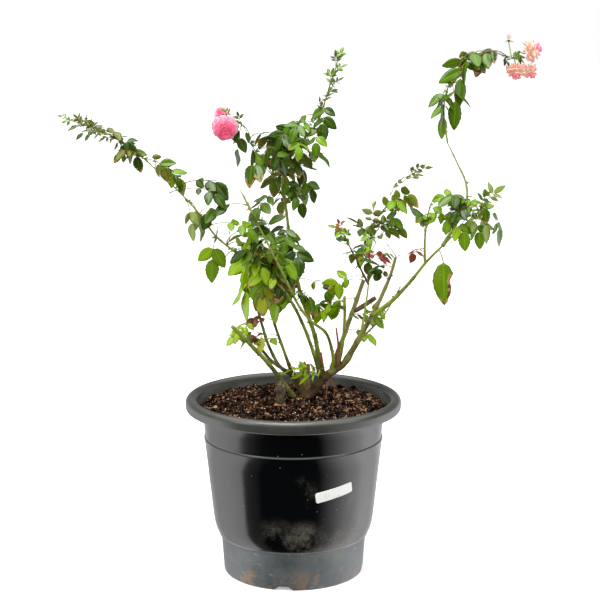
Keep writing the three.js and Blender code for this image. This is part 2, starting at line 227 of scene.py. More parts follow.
def pot_material():
    """Glossy black plastic with dry dust low on the front right and earth stains round the foot."""
    material, shader = new_material("pot_plastic")
    n = Nodes(material)
    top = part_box("pot")[1].z
    cloud = n.noise(16, 7, 0.68)
    grit = n.noise(240, 5, 0.7)
    place = n.near(DUSTY[0][0], *DUSTY[0][1:])
    for centre, inner, outer in DUSTY[1:]:
        place = n.math("MAXIMUM", place, n.near(centre, inner, outer))
    dust = n.math("MULTIPLY", place, n.ramp(cloud, 0.44, 0.66))
    dust = n.math("MULTIPLY", dust, n.ramp(grit, 0.3, 0.7, 0.35, 1.0))
    height = n.parts(n.position)["Z"]
    foot = n.ramp(height, 0.05, 0.06, 1.0, 0.0)
    rim = n.ramp(height, top - 0.022, top - 0.016)
    patchy = n.math("MULTIPLY", foot, n.ramp(n.noise(28, 6, 0.7), 0.3, 0.62, 0.6, 1.0))
    even = n.math("MULTIPLY", rim, n.ramp(n.noise(12, 4, 0.6), 0.3, 0.7, 0.42, 0.62))
    haze = n.math("MAXIMUM", patchy, even)
    # Painted highlight: pale lines along the ridge and the foot step, where light from above catches the
    # ledges.
    ledge_highlights = n.math("MAXIMUM", highlight_band(n, height, *RIDGE_HIGHLIGHT), highlight_band(n, height, *STEP_HIGHLIGHT))
    specks = n.ramp(n.cells(95), 0.035, 0.06, 0.75, 0.0)
    specks = n.math("MULTIPLY", specks, n.ramp(n.noise(22, 3), 0.5, 0.62))
    stain_low = n.ramp(height, 0.012, 0.04, 1.0, 0.0)
    stain = n.math("MULTIPLY", stain_low, n.ramp(n.noise(38, 6, 0.7), 0.5, 0.62))
    streaks = n.math("MULTIPLY", foot, n.ramp(n.noise(60, 6, 0.7, stretch=(1, 1, 2.5)), 0.58, 0.66))
    colour = n.mix(n.math("MULTIPLY", patchy, 0.7), 0x090B0C, 0x687072)
    colour = n.mix(n.math("MULTIPLY", even, 0.7), colour, 0x62625A)
    colour = n.mix(n.math("MULTIPLY", ledge_highlights, 0.5), colour, 0x8E918E)
    colour = n.mix(n.math("MULTIPLY", dust, 0.6), colour, 0x8C8574)
    colour = n.mix(n.math("MULTIPLY", streaks, 0.45), colour, 0x9C9280)
    colour = n.mix(n.math("MULTIPLY", stain, 0.6), colour, 0x8E6A4C)
    n.link(n.mix(specks, colour, 0xC8C4B8), shader.inputs["Base Color"])
    smear = n.ramp(n.noise(9, 5, 0.6), 0.35, 0.75, 0.1, 0.26)
    rough = n.math("MAXIMUM", smear, n.ramp(dust, 0.0, 0.6, 0.1, 0.6))
    rough = n.math("MAXIMUM", rough, n.ramp(haze, 0.0, 0.9, 0.1, 0.45))
    n.link(rough, shader.inputs["Roughness"])
    n.bump(shader, n.noise(150, 4, 0.5), 0.05, 0.5 * MM)
    return material


def soil_material():
    """Dark damp potting mix, browner where it has dried."""
    material, shader = new_material("potting_mix")
    n = Nodes(material)
    dry = n.ramp(n.noise(45, 6, 0.7), 0.4, 0.68)
    colour = n.mix(dry, 0x060302, 0x36241A)
    fibre = n.ramp(n.noise(260, 5, 0.7), 0.6, 0.72)
    n.link(n.mix(fibre, colour, 0x7A5A40), shader.inputs["Base Color"])
    n.link(n.ramp(dry, 0, 1, 0.75, 0.98), shader.inputs["Roughness"])
    shader.inputs["Specular IOR Level"].default_value = 0.1
    n.bump(shader, n.noise(380, 6, 0.75), 0.9, 1.2 * MM)
    return material


# Each tint's upper side, midrib and underside.
LEAF_TINTS = {
    "deep": (0x2E4A00, 0x506C06, 0x5E6A20),
    "leafy": (0x466600, 0x66860C, 0x6E7C24),
    "fresh": (0x648A00, 0x82A214, 0x84982C),
    "bright": (0x86AA08, 0x9CBA28, 0x9AB238),
    "yellow": (0xACB82C, 0xBCC44C, 0xB8BE60),
    "pale": (0x7C9040, 0x92A452, 0x98A660),
    "olive": (0x5A6010, 0x74782C, 0x7E7E42),
    "red": (0x6A2018, 0x803426, 0x8A4432),
    "rust": (0x844018, 0x92542C, 0x96603A),
}
LEAF_PARTS = (("", 0.28, 0.3), ("_rib", 0.32, 0.3), ("_under", 0.6, 0.1))   # roughness, specular
DRY_TINTS = {"tan": 0xB48A58, "brown": 0x6A4426}


def leaf_materials():
    """The leaf slots in order, and the index of each."""
    materials = []
    index = {}
    for name, colours in LEAF_TINTS.items():
        for colour, (part, roughness, specular) in zip(colours, LEAF_PARTS):
            index[name + part] = len(materials)
            materials.append(plain("leaf_" + name + part, colour, roughness, specular))
    for name, colour in DRY_TINTS.items():
        index[name] = len(materials)
        materials.append(plain("leaf_" + name, colour, 0.7, 0.3))
    return materials, index


leaf_slots, LEAF = leaf_materials()


# ---------------------------------------------------------------- mesh making

class Shape:
    """Vertices, faces and slots gathered for one joined mesh."""

    def __init__(self):
        self.points = []
        self.faces = []
        self.slots = []

    def add(self, points, faces, slots):
        first = len(self.points)
        self.points.extend(points)
        self.faces.extend([tuple(first + i for i in face) for face in faces])
        self.slots.extend(slots if isinstance(slots, list) else [slots] * len(faces))

    def make(self, name, materials, slot, smooth=True):
        """The gathered mesh as a piece that rides on the pot's body."""
        mesh = bpy.data.meshes.new(name)
        mesh.from_pydata([tuple(p) for p in self.points], [], self.faces)
        for material in materials:
            mesh.materials.append(material)
        mesh.polygons.foreach_set("material_index", self.slots)
        mesh.polygons.foreach_set("use_smooth", [smooth] * len(mesh.polygons))
        mesh.update()
        piece = bpy.data.objects.new(name, mesh)
        bpy.context.scene.collection.objects.link(piece)
        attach(piece, "root")
        return piece


def polar(radius, angle, height=0.0):
    """The point at a radius and an angle round the pot's axis."""
    return Vector((radius * math.cos(angle), radius * math.sin(angle), height))


def ring_faces(rings, around):
    """Quads between rings of points that follow one another, each ring closed on itself."""
    faces = []
    for ring in range(rings - 1):
        for k in range(around):
            a, b = ring * around + k, ring * around + (k + 1) % around
            faces.append((a, b, b + around, a + around))
    return faces


def add_turned(shape, rings, bottom, top):
    """Closed rings of points joined in turn, with a fan of triangles to a centre at either end."""
    around = len(rings[0])
    points = [point for ring in rings for point in ring] + [bottom, top]
    last = (len(rings) - 1) * around
    faces = ring_faces(len(rings), around)
    for k in range(around):
        step = (k + 1) % around
        faces.append((step, k, len(points) - 2))
        faces.append((last + k, last + step, len(points) - 1))
    shape.add(points, faces, 0)


def unit(vector, fallback=UP):
    return vector.normalized() if vector.length > 1e-9 else fallback.copy()


def across(direction, hint):
    """The part of hint at right angles to direction, as a unit vector."""
    rest = hint - direction * hint.dot(direction)
    if rest.length < 1e-4:
        rest = direction.orthogonal()
    return rest.normalized()


def scatter(size):
    """A random offset in a cube of the given half size."""
    return Vector([rng.uniform(-size, size) for _ in range(3)])


def smooth_line(points, radii, step):
    """A Catmull-Rom curve through the points, sampled about every step, with its radii."""
    line = []
    widths = []
    count = len(points)
    for i in range(count - 1):
        p0 = points[max(i - 1, 0)]
        p1, p2 = points[i], points[i + 1]
        p3 = points[min(i + 2, count - 1)]
        parts = max(1, round((p2 - p1).length / step))
        for k in range(parts):
            t = k / parts
            curve = 2 * p1 + (p2 - p0) * t + (2 * p0 - 5 * p1 + 4 * p2 - p3) * t * t
            curve += (3 * p1 - p0 - 3 * p2 + p3) * t ** 3
            line.append(curve / 2)
            widths.append(radii[i] * (1 - t) + radii[i + 1] * t)
    line.append(points[-1].copy())
    widths.append(radii[-1])
    return line, widths


def bow(start, control, end, steps):
    """Points on a quadratic curve, at equal steps."""
    line = []
    for i in range(steps + 1):
        t = i / steps
        line.append(start * (1 - t) ** 2 + control * 2 * t * (1 - t) + end * t * t)
    return line


def arched(start, end, rise, places):
    """Points from start to end at the given shares of the way, lifted most in the middle."""
    return [start.lerp(end, t) + rise * math.sin(math.pi * t) for t in places]


def tangents(line):
    last = len(line) - 1
    return [unit(line[min(i + 1, last)] - line[max(i - 1, 0)]) for i in range(last + 1)]


def add_tube(shape, line, radii, sides, slot, tip_slot=None, relief=None):
    """A closed tube along a line. relief(i, angle, point) scales its radius."""
    heading = tangents(line)
    side = across(heading[0], Vector((0.3, 1, 0.2)))
    points = []
    for i, centre in enumerate(line):
        side = across(heading[i], side)
        other = heading[i].cross(side)
        for k in range(sides):
            angle = 2 * math.pi * k / sides
            out = side * math.cos(angle) + other * math.sin(angle)
            swell = relief(i, angle, centre + out * radii[i]) if relief else 1.0
            points.append(centre + out * (radii[i] * swell))
    faces = ring_faces(len(line), sides)
    slots = [slot] * len(faces)
    last = (len(line) - 1) * sides
    faces.append(tuple(range(sides - 1, -1, -1)))
    faces.append(tuple(range(last, last + sides)))
    slots += [slot, slot if tip_slot is None else tip_slot]
    shape.add(points, faces, slots)


# ---------------------------------------------------------------- limbs read from the frame

RING_GAP = 7 * MM       # rings of a limb's mesh lie further apart than this
RING_TAPER = 0.5 * MM   # the most that a limb widens from one ring to the next


def corners_and_links(node):
    """A node's distinct corners and which of them share an edge."""
    mesh = nodes[node].data
    number = {}
    corners = []
    renumbered = []
    for vertex in mesh.vertices:
        key = tuple(round(c, 5) for c in vertex.co)
        if key not in number:
            number[key] = len(corners)
            corners.append(vertex.co.copy())
        renumbered.append(number[key])
    links = defaultdict(set)
    for edge in mesh.edges:
        a, b = (renumbered[v] for v in edge.vertices)
        if a != b:
            links[a].add(b)
            links[b].add(a)
    return corners, links


def walk(corners, links, start):
    """How far each corner is from the start along the mesh's edges."""
    far = [math.inf] * len(corners)
    far[start] = 0.0
    queue = [(0.0, start)]
    while queue:
        so_far, a = heapq.heappop(queue)
        if so_far > far[a]:
            continue
        for b in links[a]:
            reach = so_far + (corners[a] - corners[b]).length
            if reach < far[b]:
                far[b] = reach
                heapq.heappush(queue, (reach, b))
    return far


def centreline(node):
    """A limb's centre points and radii from base to tip, from the rings of its mesh."""
    corners, links = corners_and_links(node)
    lowest = min(range(len(corners)), key=lambda i: corners[i].z)
    reach = walk(corners, links, lowest)
    tip = max(range(len(corners)), key=lambda i: reach[i])
    reach = walk(corners, links, tip)
    order = sorted(range(len(corners)), key=lambda i: reach[i])
    rings = [[order[0]]]
    for a, b in zip(order, order[1:]):
        if reach[b] - reach[a] > RING_GAP:
            rings.append([])
        rings[-1].append(b)
    if len(rings) == 1:
        third = max(3, len(order) // 3)
        rings = [order[:third], order[-third:]]
    line = []
    radii = []
    for ring in reversed(rings):
        centre = sum((corners[i] for i in ring), Vector()) / len(ring)
        line.append(centre)
        radii.append(max((corners[i] - centre).length for i in ring))
    # Rings near the cut from the parent are ragged, so no ring is much wider than the one after it.
    for i in range(len(radii) - 2, -1, -1):
        radii[i] = min(radii[i], radii[i + 1] + RING_TAPER)
    return line, radii


OLD_WOOD = ("main_crown", "side_crown", "old_stump", "grey_stub")
CANES = (
    "right_cane", "centre_cane", "left_cane", "cut_cane", "knotty_cane", "leaning_cane", "slim_cane",
    "crossing_cane", "fork_cane", "side_stub", "upright_stub", "whip_cane", "right_bough", "tall_shoot",
    "tall_arch", "bloom_branch", "rear_twig", "front_twig", "inner_shoot",
)
CUT_ENDS = ("cut_cane", "knotty_cane", "fork_cane", "side_stub", "upright_stub")
LINE_STEP = 3 * MM
# Base and tip width of a cane against its CAD solid; the thinnest wood is finer than CAD can hold.
SLIMMING = {
    "tall_arch": (0.62, 0.4), "bloom_branch": (0.55, 0.3), "tall_shoot": (1.0, 0.35),
    "left_cane": (1.0, 0.42), "right_cane": (1.0, 0.7), "right_bough": (1.0, 0.45),
    "rear_twig": (0.8, 0.4), "whip_cane": (0.85, 0.5),
}
SUNK = 6 * MM               # a limb that starts within this height of the potting mix goes down into it
WIDEST_JOIN = 25 * MM       # the furthest that a limb's start is drawn back to its parent


class Limb:
    """A cane's smooth centreline, from inside its parent to its tip."""

    def __init__(self, node, earlier):
        line, radii = centreline(node)
        back = -unit(line[1] - line[0])
        start = line[0] + back * 4 * MM
        if start.z <= SOIL_TOP + SUNK:
            start = line[0] + back * 10 * MM
        elif earlier:
            parents = [p for limb in earlier for p in limb.line]
            start = min(parents, key=lambda p: (p - line[0]).length)
            if (start - line[0]).length > WIDEST_JOIN:
                start = line[0]
        if (start - line[0]).length > 0.5 * MM:
            line.insert(0, start)
            radii.insert(0, radii[0])
        self.node = node
        self.line, self.radii = smooth_line(line, radii, LINE_STEP)
        broad, fine = SLIMMING.get(node, (1.0, 1.0 if node in CUT_ENDS + OLD_WOOD else 0.7))
        last = len(self.line) - 1
        self.radii = [r * (broad + (fine - broad) * i / last) for i, r in enumerate(self.radii)]
        self.heading = tangents(self.line)


limbs = []
for cane in OLD_WOOD + CANES:
    limbs.append(Limb(cane, limbs))
limb_of = {limb.node: limb for limb in limbs}


# ---------------------------------------------------------------- canes, thorns and old wood

cut_wood = plain("cut_wood", 0x9A8460, 0.9)
BARKS = {
    "green": bark_material("bark_green", 0x8A982A, 0x566014, 0x42300E),
    "young": bark_material("bark_young", 0x687E20, 0x4E6414, 0x46340E, 0.5),
    "olive": bark_material("bark_olive", 0x868440, 0x625A2C, 0x44361A, 0.45, 0.6),
    "brown": bark_material("bark_brown", 0x665428, 0x463216, 0x2E1E10, 0.4, 0.7),
    "crown": bark_material("bark_crown", 0x68642C, 0x4E3E1E, 0x2E2010, 0.38, 0.75),
    "dead": bark_material("bark_dead", 0xA07C56, 0x5C3C28, 0x2A1A12, 0.44, 0.9, 0.0),
    "grey": bark_material("bark_grey", 0x6C604C, 0x443828, 0x231A12, 0.45, 0.9, 0.0),
}
BARK_OF = {
    "right_cane": "olive", "fork_cane": "olive", "side_stub": "brown", "cut_cane": "green",
    "knotty_cane": "olive", "upright_stub": "green", "right_bough": "green", "left_cane": "green",
    "tall_shoot": "young", "tall_arch": "young", "bloom_branch": "young", "front_twig": "brown",
    "whip_cane": "green",
}
THORNY = {
    "leaning_cane": 15, "cut_cane": 6, "centre_cane": 14, "left_cane": 12, "crossing_cane": 8,
    "right_bough": 9, "tall_shoot": 8, "slim_cane": 9, "right_cane": 5, "inner_shoot": 4,
    "tall_arch": 6, "rear_twig": 4, "whip_cane": 3,
}
thorns = Shape()


def joints_along(limb):
    """Places of the buds and leaf scars along a cane, as indices into its line."""
    places = []
    at = rng.uniform(10, 20) * MM
    while at < (len(limb.line) - 3) * LINE_STEP:
        places.append(round(at / LINE_STEP))
        at += rng.uniform(20, 34) * MM
    return places


def cane_piece(limb):
    """A cane with swollen joints, small buds and a finely uneven bark."""
    rings = joints_along(limb)
    sides = 16 if max(limb.radii) > 3 * MM else 12
    woody = BARK_OF.get(limb.node) in ("brown", "olive")
    grain = 0.09 if woody else 0.045
    wander = 0.5 * MM
    line = [p + Vector(noise.noise_vector(p * 38)) * wander for p in limb.line]

    def relief(i, angle, point):
        near = min((abs(i - ring) for ring in rings), default=99)
        swell = 1 + 0.16 * math.exp(-(near / 1.1) ** 2)
        ridge = noise.noise(Vector((angle * 2.2, point.z * 60, limb.radii[0] * 900)))
        return swell + grain * ridge + grain * noise.noise(point * 420)

    shape = Shape()
    cut = limb.node in CUT_ENDS
    radii = list(limb.radii)
    if not cut:
        radii[-1] *= 0.5
    add_tube(shape, line, radii, sides, 0, 1 if cut else 0, relief)
    for count, ring in enumerate(rings):
        outward = turned(limb.heading[ring], count * GOLDEN_ANGLE)
        add_bud(shape, line[ring], outward, limb.heading[ring], radii[ring])
    bark = BARKS[BARK_OF.get(limb.node, "green")]
    piece = shape.make(limb.node + "_wood", [bark, cut_wood], "green_cane")
    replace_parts(piece, limb.node)


def turned(heading, angle):
    """A direction at right angles to heading, turned by an angle round it."""
    side = across(heading, Vector((0.2, 1, 0.1)))
    return (Matrix.Rotation(angle, 3, heading) @ side).normalized()


def add_bud(shape, centre, outward, heading, radius):
    """A small pointed bud lying against the cane."""
    size = max(1.0 * MM, radius * 0.45)
    base = centre + outward * radius * 0.8
    line = [base + heading * size * k * 0.8 + outward * size * (0.25 * k) for k in range(4)]
    add_tube(shape, line, [size * 0.6, size * 0.65, size * 0.4, size * 0.05], 5, 0)


# Rings of a prickle from its base to its point: how far out, how far hooked, half its length and width.
THORN_RINGS = ((0, 0, 0.62, 0.3), (0.35, 0.05, 0.36, 0.2), (0.72, 0.2, 0.16, 0.1), (1.0, 0.42, 0.02, 0.02))
FINEST_THORNY = 0.9 * MM    # wood finer than this radius bears no prickles


def add_thorn(centre, outward, heading, radius):
    """A prickle: a broad flat base drawn out to a point that hooks towards the root."""
    size = rng.uniform(2.6, 4.2) * MM
    base = centre + outward * (radius * 0.85)
    width = across(outward, heading.cross(outward))
    points = []
    for out, hook, long, wide in THORN_RINGS:
        middle = base + outward * size * out - heading * size * hook
        for side in range(6):
            angle = side * math.pi / 3
            reach = heading * math.cos(angle) * long + width * math.sin(angle) * wide
            points.append(middle + reach * size)
    faces = [(5, 4, 3, 2, 1, 0), (18, 19, 20, 21, 22, 23)] + ring_faces(len(THORN_RINGS), 6)
    thorns.add(points, faces, rng.choice((0, 0, 1)))


for limb in limbs:
    if limb.node in CANES:
        cane_piece(limb)
    for _ in range(THORNY.get(limb.node, 0)):
        at = rng.randrange(4, max(5, len(limb.line) - 6))
        if limb.radii[at] < FINEST_THORNY:
            continue
        outward = turned(limb.heading[at], rng.uniform(0, 2 * math.pi))
        add_thorn(limb.line[at], outward, limb.heading[at], limb.radii[at])

thorn_colours = [plain("thorn_red", 0x8A4A3A, 0.45), plain("thorn_tan", 0xA08458, 0.5)]
thorns.make("thorns", thorn_colours, "green_cane")


def old_wood_piece(name, replaced, roots, bark="crown"):
    """Old wood at the foot, grown together: tubes joined by a voxel remesh, then roughened."""
    shape = Shape()
    for line, radii in roots:
        add_tube(shape, *smooth_line(line, radii, 2 * MM), 14, 0)
    piece = shape.make(name, [BARKS[bark], cut_wood], "old_wood")
    remesh = piece.modifiers.new("grown_together", "REMESH")
    remesh.mode = "VOXEL"
    remesh.voxel_size = 1.1 * MM
    relaxed = piece.modifiers.new("relaxed", "SMOOTH")
    relaxed.iterations = 3
    apply_modifiers(piece)
    for vertex in piece.data.vertices:
        p = vertex.co
        rough = 0.9 * noise.noise(p * 110) + 0.6 * noise.noise(Vector((p.x * 420, p.y * 420, p.z * 110)))
        vertex.co = p + vertex.normal * (rough * MM)
    for polygon in piece.data.polygons:
        polygon.use_smooth = True
    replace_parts(piece, *replaced)


def apply_modifiers(piece):
    """Bakes a piece's modifiers into its mesh."""
    view = bpy.context.evaluated_depsgraph_get()
    made = bpy.data.meshes.new_from_object(piece.evaluated_get(view), depsgraph=view)
    piece.modifiers.clear()
    piece.data = made


CROWNS = {"main_crown": 8.5 * MM, "side_crown": 7 * MM}     # radius of each at its foot
CROWN_REACH = 14 * MM       # canes that start within this distance of a crown grow out of it


def crown_roots():
    """The crown's limbs and the first stretch of every cane that leaves it."""
    roots = []
    for name, wide in CROWNS.items():
        limb = limb_of[name]
        base, tip = limb.line[0], limb.line[-1]
        start = base - unit(tip - base) * 6 * MM
        roots.append(([start, base.lerp(tip, 0.35), base.lerp(tip, 0.75), tip],
                      [wide, wide * 0.8, wide * 0.72, wide * 0.64]))
    crowns = [p for name in CROWNS for p in limb_of[name].line]
    for name in CANES:
        limb = limb_of[name]
        if min((p - limb.line[0]).length for p in crowns) < CROWN_REACH:
            radius = limb.radii[0]
            roots.append(([limb.line[0], limb.line[3], limb.line[6]],
                          [radius * 1.2, radius * 1.1, radius * 0.96]))
    return roots


old_wood_piece("crown_wood", CROWNS, crown_roots())


def broken_stub(node, broad, bark):
    """A dead stub that broke off ragged: a flared foot and splinters of uneven height round its top."""
    low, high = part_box(node)
    middle = (low + high) / 2
    half = (high.x - low.x) / 2 * broad
    top = high.z - 9 * MM
    roots = [([Vector((middle.x, middle.y, low.z - 4 * MM)), middle, Vector((middle.x, middle.y, top))],
              [half * 1.05, half * 0.8, half * 0.95])]
    for k in range(7):
        out = turned(UP, k * math.tau / 7 + rng.uniform(-0.3, 0.3))
        foot = Vector((middle.x, middle.y, top - 8 * MM)) + out * half * 0.5
        tip = Vector((middle.x, middle.y, rng.uniform(top, high.z))) + out * half * rng.uniform(0.7, 1.3)
        roots.append(([foot, foot.lerp(tip, 0.5), tip], [half * 0.5, half * 0.4, half * 0.16]))
    old_wood_piece(node + "_wood", (node,), roots, bark)


broken_stub("old_stump", 0.95, "dead")
broken_stub("grey_stub", 0.9, "grey")


# ---------------------------------------------------------------- leaves

FINE_LEAFLET = 16 * MM      # shorter leaflets get a coarser mesh
LEAF_THICKNESS = 0.22 * MM


def leaflet_rows(base, axis, normal, length, width, columns, rows, burnt, torn):
    """Rows of points across a toothed leaflet from its base to its tip, and the way each row faces."""
    side = axis.cross(normal)
    fold = rng.uniform(0.04, 0.26)
    curl = rng.uniform(-0.02, 0.3) + 0.35 * burnt
    twist = rng.uniform(-0.35, 0.35)
    wave = rng.uniform(0.0, 0.07)
    phase = rng.uniform(0, 6)
    made = []
    for row in range(rows + 1):
        t = row / rows
        outline = math.sin(math.pi * t ** 0.86) ** 0.62 if 0 < t < 1 else 0.0
        outline *= 1 - 0.3 * t ** 3
        tooth = 1.0 if row % 2 else 0.93
        turn = twist * t
        lateral = side * math.cos(turn) + normal * math.sin(turn)
        rise = normal * math.cos(turn) - side * math.sin(turn)
        centre = base + axis * (length * (t - 0.06 * curl * t)) - normal * (length * curl * t * t * 0.5)
        bite = rng.uniform(0.5, 0.85) if torn and 0.3 < t < 0.85 else 1.0
        ring = []
        for s in columns:
            reach = length * width / 2 * outline * s
            reach *= (tooth if abs(s) == 1 else 1.0) * (bite if s < -0.1 else 1.0)
            lift = fold * abs(reach) + wave * length * math.sin(phase + 7 * t) * abs(s) * outline
            ring.append(centre + lateral * reach + rise * lift)
        made.append((ring, rise))
    return made


def leaflet_skins(rows):
    """The points of an upper and an under skin that share their rim, and their indices by row and column."""
    points = []
    top = {}
    under = {}
    last = len(rows[0][0]) - 1
    for row, (ring, rise) in enumerate(rows):
        if row in (0, len(rows) - 1):
            points.append(ring[0])
            for k in range(last + 1):
                top[row, k] = under[row, k] = len(points) - 1
            continue
        for k, point in enumerate(ring):
            points.append(point)
            top[row, k] = under[row, k] = len(points) - 1
        for k in range(1, last):
            points.append(ring[k] - rise * LEAF_THICKNESS)
            under[row, k] = len(points) - 1
    return points, top, under


def add_leaflet(shape, base, axis, normal, length, tint, burnt=0.0, width=0.6, torn=False):
    """One toothed leaflet: an upper and an under skin, folded along a pale midrib."""
    axis = unit(axis)
    fine = length > FINE_LEAFLET
    rows = 12 if fine else 7
    columns = (-1, -0.55, -0.06, 0.06, 0.55, 1) if fine else (-1, -0.09, 0.09, 1)
    made = leaflet_rows(base, axis, across(axis, normal), length, width, columns, rows, burnt, torn)
    points, top, under = leaflet_skins(made)
    last = len(columns) - 1
    faces = []
    slots = []
    for row in range(rows):
        t = (row + 0.5) / rows
        for k in range(last):
            edge = k in (0, last - 1)
            scorched = burnt and (t > 1 - burnt * 0.5 or (edge and t > 1 - burnt))
            scorched = scorched or (torn and k == 0 and 0.25 < t < 0.9)
            dry = LEAF["brown"] if scorched and rng.random() < 0.3 else LEAF["tan"]
            for skin, flip in ((top, False), (under, True)):
                quad = [skin[row, k], skin[row, k + 1], skin[row + 1, k + 1], skin[row + 1, k]]
                quad = [v for i, v in enumerate(quad) if v not in quad[:i]]
                faces.append(tuple(quad if flip else reversed(quad)))
                rib = k == last // 2 and fine and t < 0.85
                part = "_under" if flip else "_rib" if rib else ""
                slots.append(dry if scorched else LEAF[tint + part])
    shape.add(points, faces, slots)


def add_leaf(shape, base, tip, facing, leaflet, tint, burnt=0.0, pairs=2, droop=0.2,
             width=0.56):
    """A compound leaf: a thin arched stalk with stipules, pairs of leaflets and one at the end."""
    length = (tip - base).length
    end = tip - unit(tip - base) * leaflet * 0.75
    control = base.lerp(end, 0.5) + UP * length * (0.1 + 0.16 * droop)
    line = bow(base, control, end, 7)
    samples = len(line)
    heading = tangents(line)
    thick = max(0.4 * MM, leaflet * 0.017)
    radii = [thick * (1.4 - 0.7 * i / (samples - 1)) for i in range(samples)]
    add_tube(shape, line, radii, 5, LEAF["rust"] if rng.random() < 0.3 else LEAF["pale"])
    for sign in (-1, 1):
        wing = heading[0] + across(heading[0], heading[0].cross(facing)) * 0.5 * sign
        add_leaflet(shape, base, wing, facing, leaflet * 0.26, tint, 0.0, 0.4)
    hang = heading[-1] * (1 - droop) - UP * droop
    add_leaflet(shape, end, hang, facing + scatter(0.3), leaflet, tint, burnt, width)
    for pair in range(pairs):
        place = samples - 1 - round((pair + 0.75) * (samples - 2) / (pairs + 1.1))
        size = leaflet * (0.92 - 0.17 * pair)
        for sign in (-1, 1):
            if rng.random() < 0.08:
                continue
            sideways = across(heading[place], heading[place].cross(facing)) * sign
            axis = heading[place] * rng.uniform(0.3, 0.7) + sideways - UP * droop * rng.uniform(0.4, 1.1)
            hurt = burnt if rng.random() < 0.5 else 0.0
            shade = tint if rng.random() < 0.8 else rng.choice(NEIGHBOUR[tint])
            add_leaflet(shape, line[place] + sideways * thick, axis, facing + scatter(0.5),
                        size * rng.uniform(0.75, 1.1), shade, hurt, width)


NEIGHBOUR = {
    "deep": ("leafy",), "leafy": ("deep", "fresh"), "fresh": ("leafy", "bright"),
    "bright": ("fresh", "yellow"), "yellow": ("bright",), "pale": ("fresh", "olive"),
    "olive": ("leafy", "pale"), "red": ("rust",), "rust": ("red", "olive"),
}

# How each mass grows: compound leaves, leaflet length in millimetres, leading twigs, how far its
# leaves hang (0 level, 1 straight down), share of burnt leaves, and its tints, commoner ones repeated.
DEEP = ("deep", "deep", "leafy", "leafy", "fresh")
MIXED = ("deep", "leafy", "leafy", "fresh", "fresh")
LIGHT = ("leafy", "leafy", "fresh", "pale")
GROWTH = {
    "tip_leaves_left": (10, 12, 6, 0.3, 0.1, ("deep", "leafy", "fresh", "olive", "olive")),
    "outer_leaves_left": (5, 18, 4, 0.5, 0.25, ("deep", "leafy", "olive", "fresh", "olive")),
    "middle_leaves_left": (3, 25, 3, 0.55, 0.3, ("deep", "leafy", "olive")),
    "inner_leaves_left": (2, 28, 2, 0.5, 0.15, DEEP),
    "hanging_leaves_left": (3, 38, 1, 0.9, 0.1, ("leafy", "fresh", "pale", "pale")),
    "tip_leaves_top": (10, 12, 3, 0.0, 0.05, ("deep", "leafy", "leafy", "fresh")),
    "head_leaves": (16, 28, 6, 0.55, 0.25, DEEP),
    "head_leaves_left": (4, 31, 2, 0.75, 0.3, ("deep", "leafy", "leafy")),
    "rear_head_leaves": (7, 28, 3, 0.5, 0.2, DEEP),
    "shoulder_leaves_left": (3, 30, 3, 0.45, 0.1, DEEP),
    "shoulder_leaves_right": (4, 28, 2, 0.7, 0.3, ("deep", "leafy", "pale")),
    "heart_leaves_upper": (5, 28, 4, 0.45, 0.1, DEEP),
    "heart_leaves_lower": (24, 29, 4, 0.5, 0.1, ("deep", "leafy", "leafy", "fresh", "fresh", "bright")),
    "rear_heart_leaves": (5, 28, 4, 0.5, 0.1, MIXED),
    "bright_leaves_low": (10, 48, 2, 0.85, 0.15, ("bright", "bright", "yellow", "fresh")),
    "leaves_low_left": (6, 22, 3, 0.3, 0.4, ("yellow", "bright", "rust", "fresh")),
    "leaves_low_centre": (11, 24, 2, 0.6, 0.3, ("leafy", "fresh", "bright")),
    "sprout_leaves": (4, 20, 3, 0.1, 0.0, ("bright", "bright", "fresh")),
    "twig_leaves_front": (3, 15, 6, 0.3, 0.3, ("fresh", "leafy")),
    "leaves_mid_right": (9, 21, 4, 0.5, 0.2, MIXED),
    "leaves_rear_right": (5, 20, 4, 0.3, 0.15, LIGHT),
    "leaves_upper_right": (7, 23, 4, 0.55, 0.35, ("leafy", "fresh", "leafy", "olive")),
    "tip_leaves_rear": (4, 14, 3, 0.1, 0.1, LIGHT),
    "leaves_inner_right": (9, 20, 5, 0.4, 0.1, MIXED),
    "red_leaves": (3, 20, 2, 0.3, 0.2, ("red", "red", "rust")),
    "leaves_low_right": (5, 18, 3, 0.4, 0.1, ("fresh", "leafy", "bright")),
    "bough_tip_leaves": (7, 25, 4, 0.85, 0.2, ("leafy", "fresh", "fresh", "pale")),
    "arch_leaves_low": (4, 46, 2, 0.9, 0.2, ("leafy", "fresh", "leafy", "olive")),
    "arch_leaves_high": (3, 36, 2, 0.8, 0.2, ("leafy", "leafy", "fresh")),
    "arch_tip_leaves": (3, 22, 2, 0.6, 0.1, ("deep", "deep", "leafy")),
}
# Leaflets are this wide against their length, except in these masses.
LEAFLET_WIDTH = 0.62
NARROW = {"sprout_leaves": 0.3, "tip_leaves_top": 0.42, "tip_leaves_left": 0.5, "arch_leaves_low": 0.5}
TWIG_REACH = 95 * MM        # a mass grows from limbs within this distance of its middle
FEWEST_POINTS = 12
TWIG_STEP = 5 * MM
PLANT_AXIS = Vector((0.02, 0.03, 0))

leaf_shapes = {"left": Shape(), "middle": Shape(), "right": Shape()}
twigs = Shape()


def region(point):
    """Which joined leaf piece a point belongs to."""
    if point.x < -0.09:
        return "left"
    return "middle" if point.x < 0.085 else "right"


def inside(tree, point):
    """Whether a point is inside a closed mesh."""
    place, normal, _, _ = tree.find_nearest(point)
    return place is not None and (point - place).dot(normal) < 0


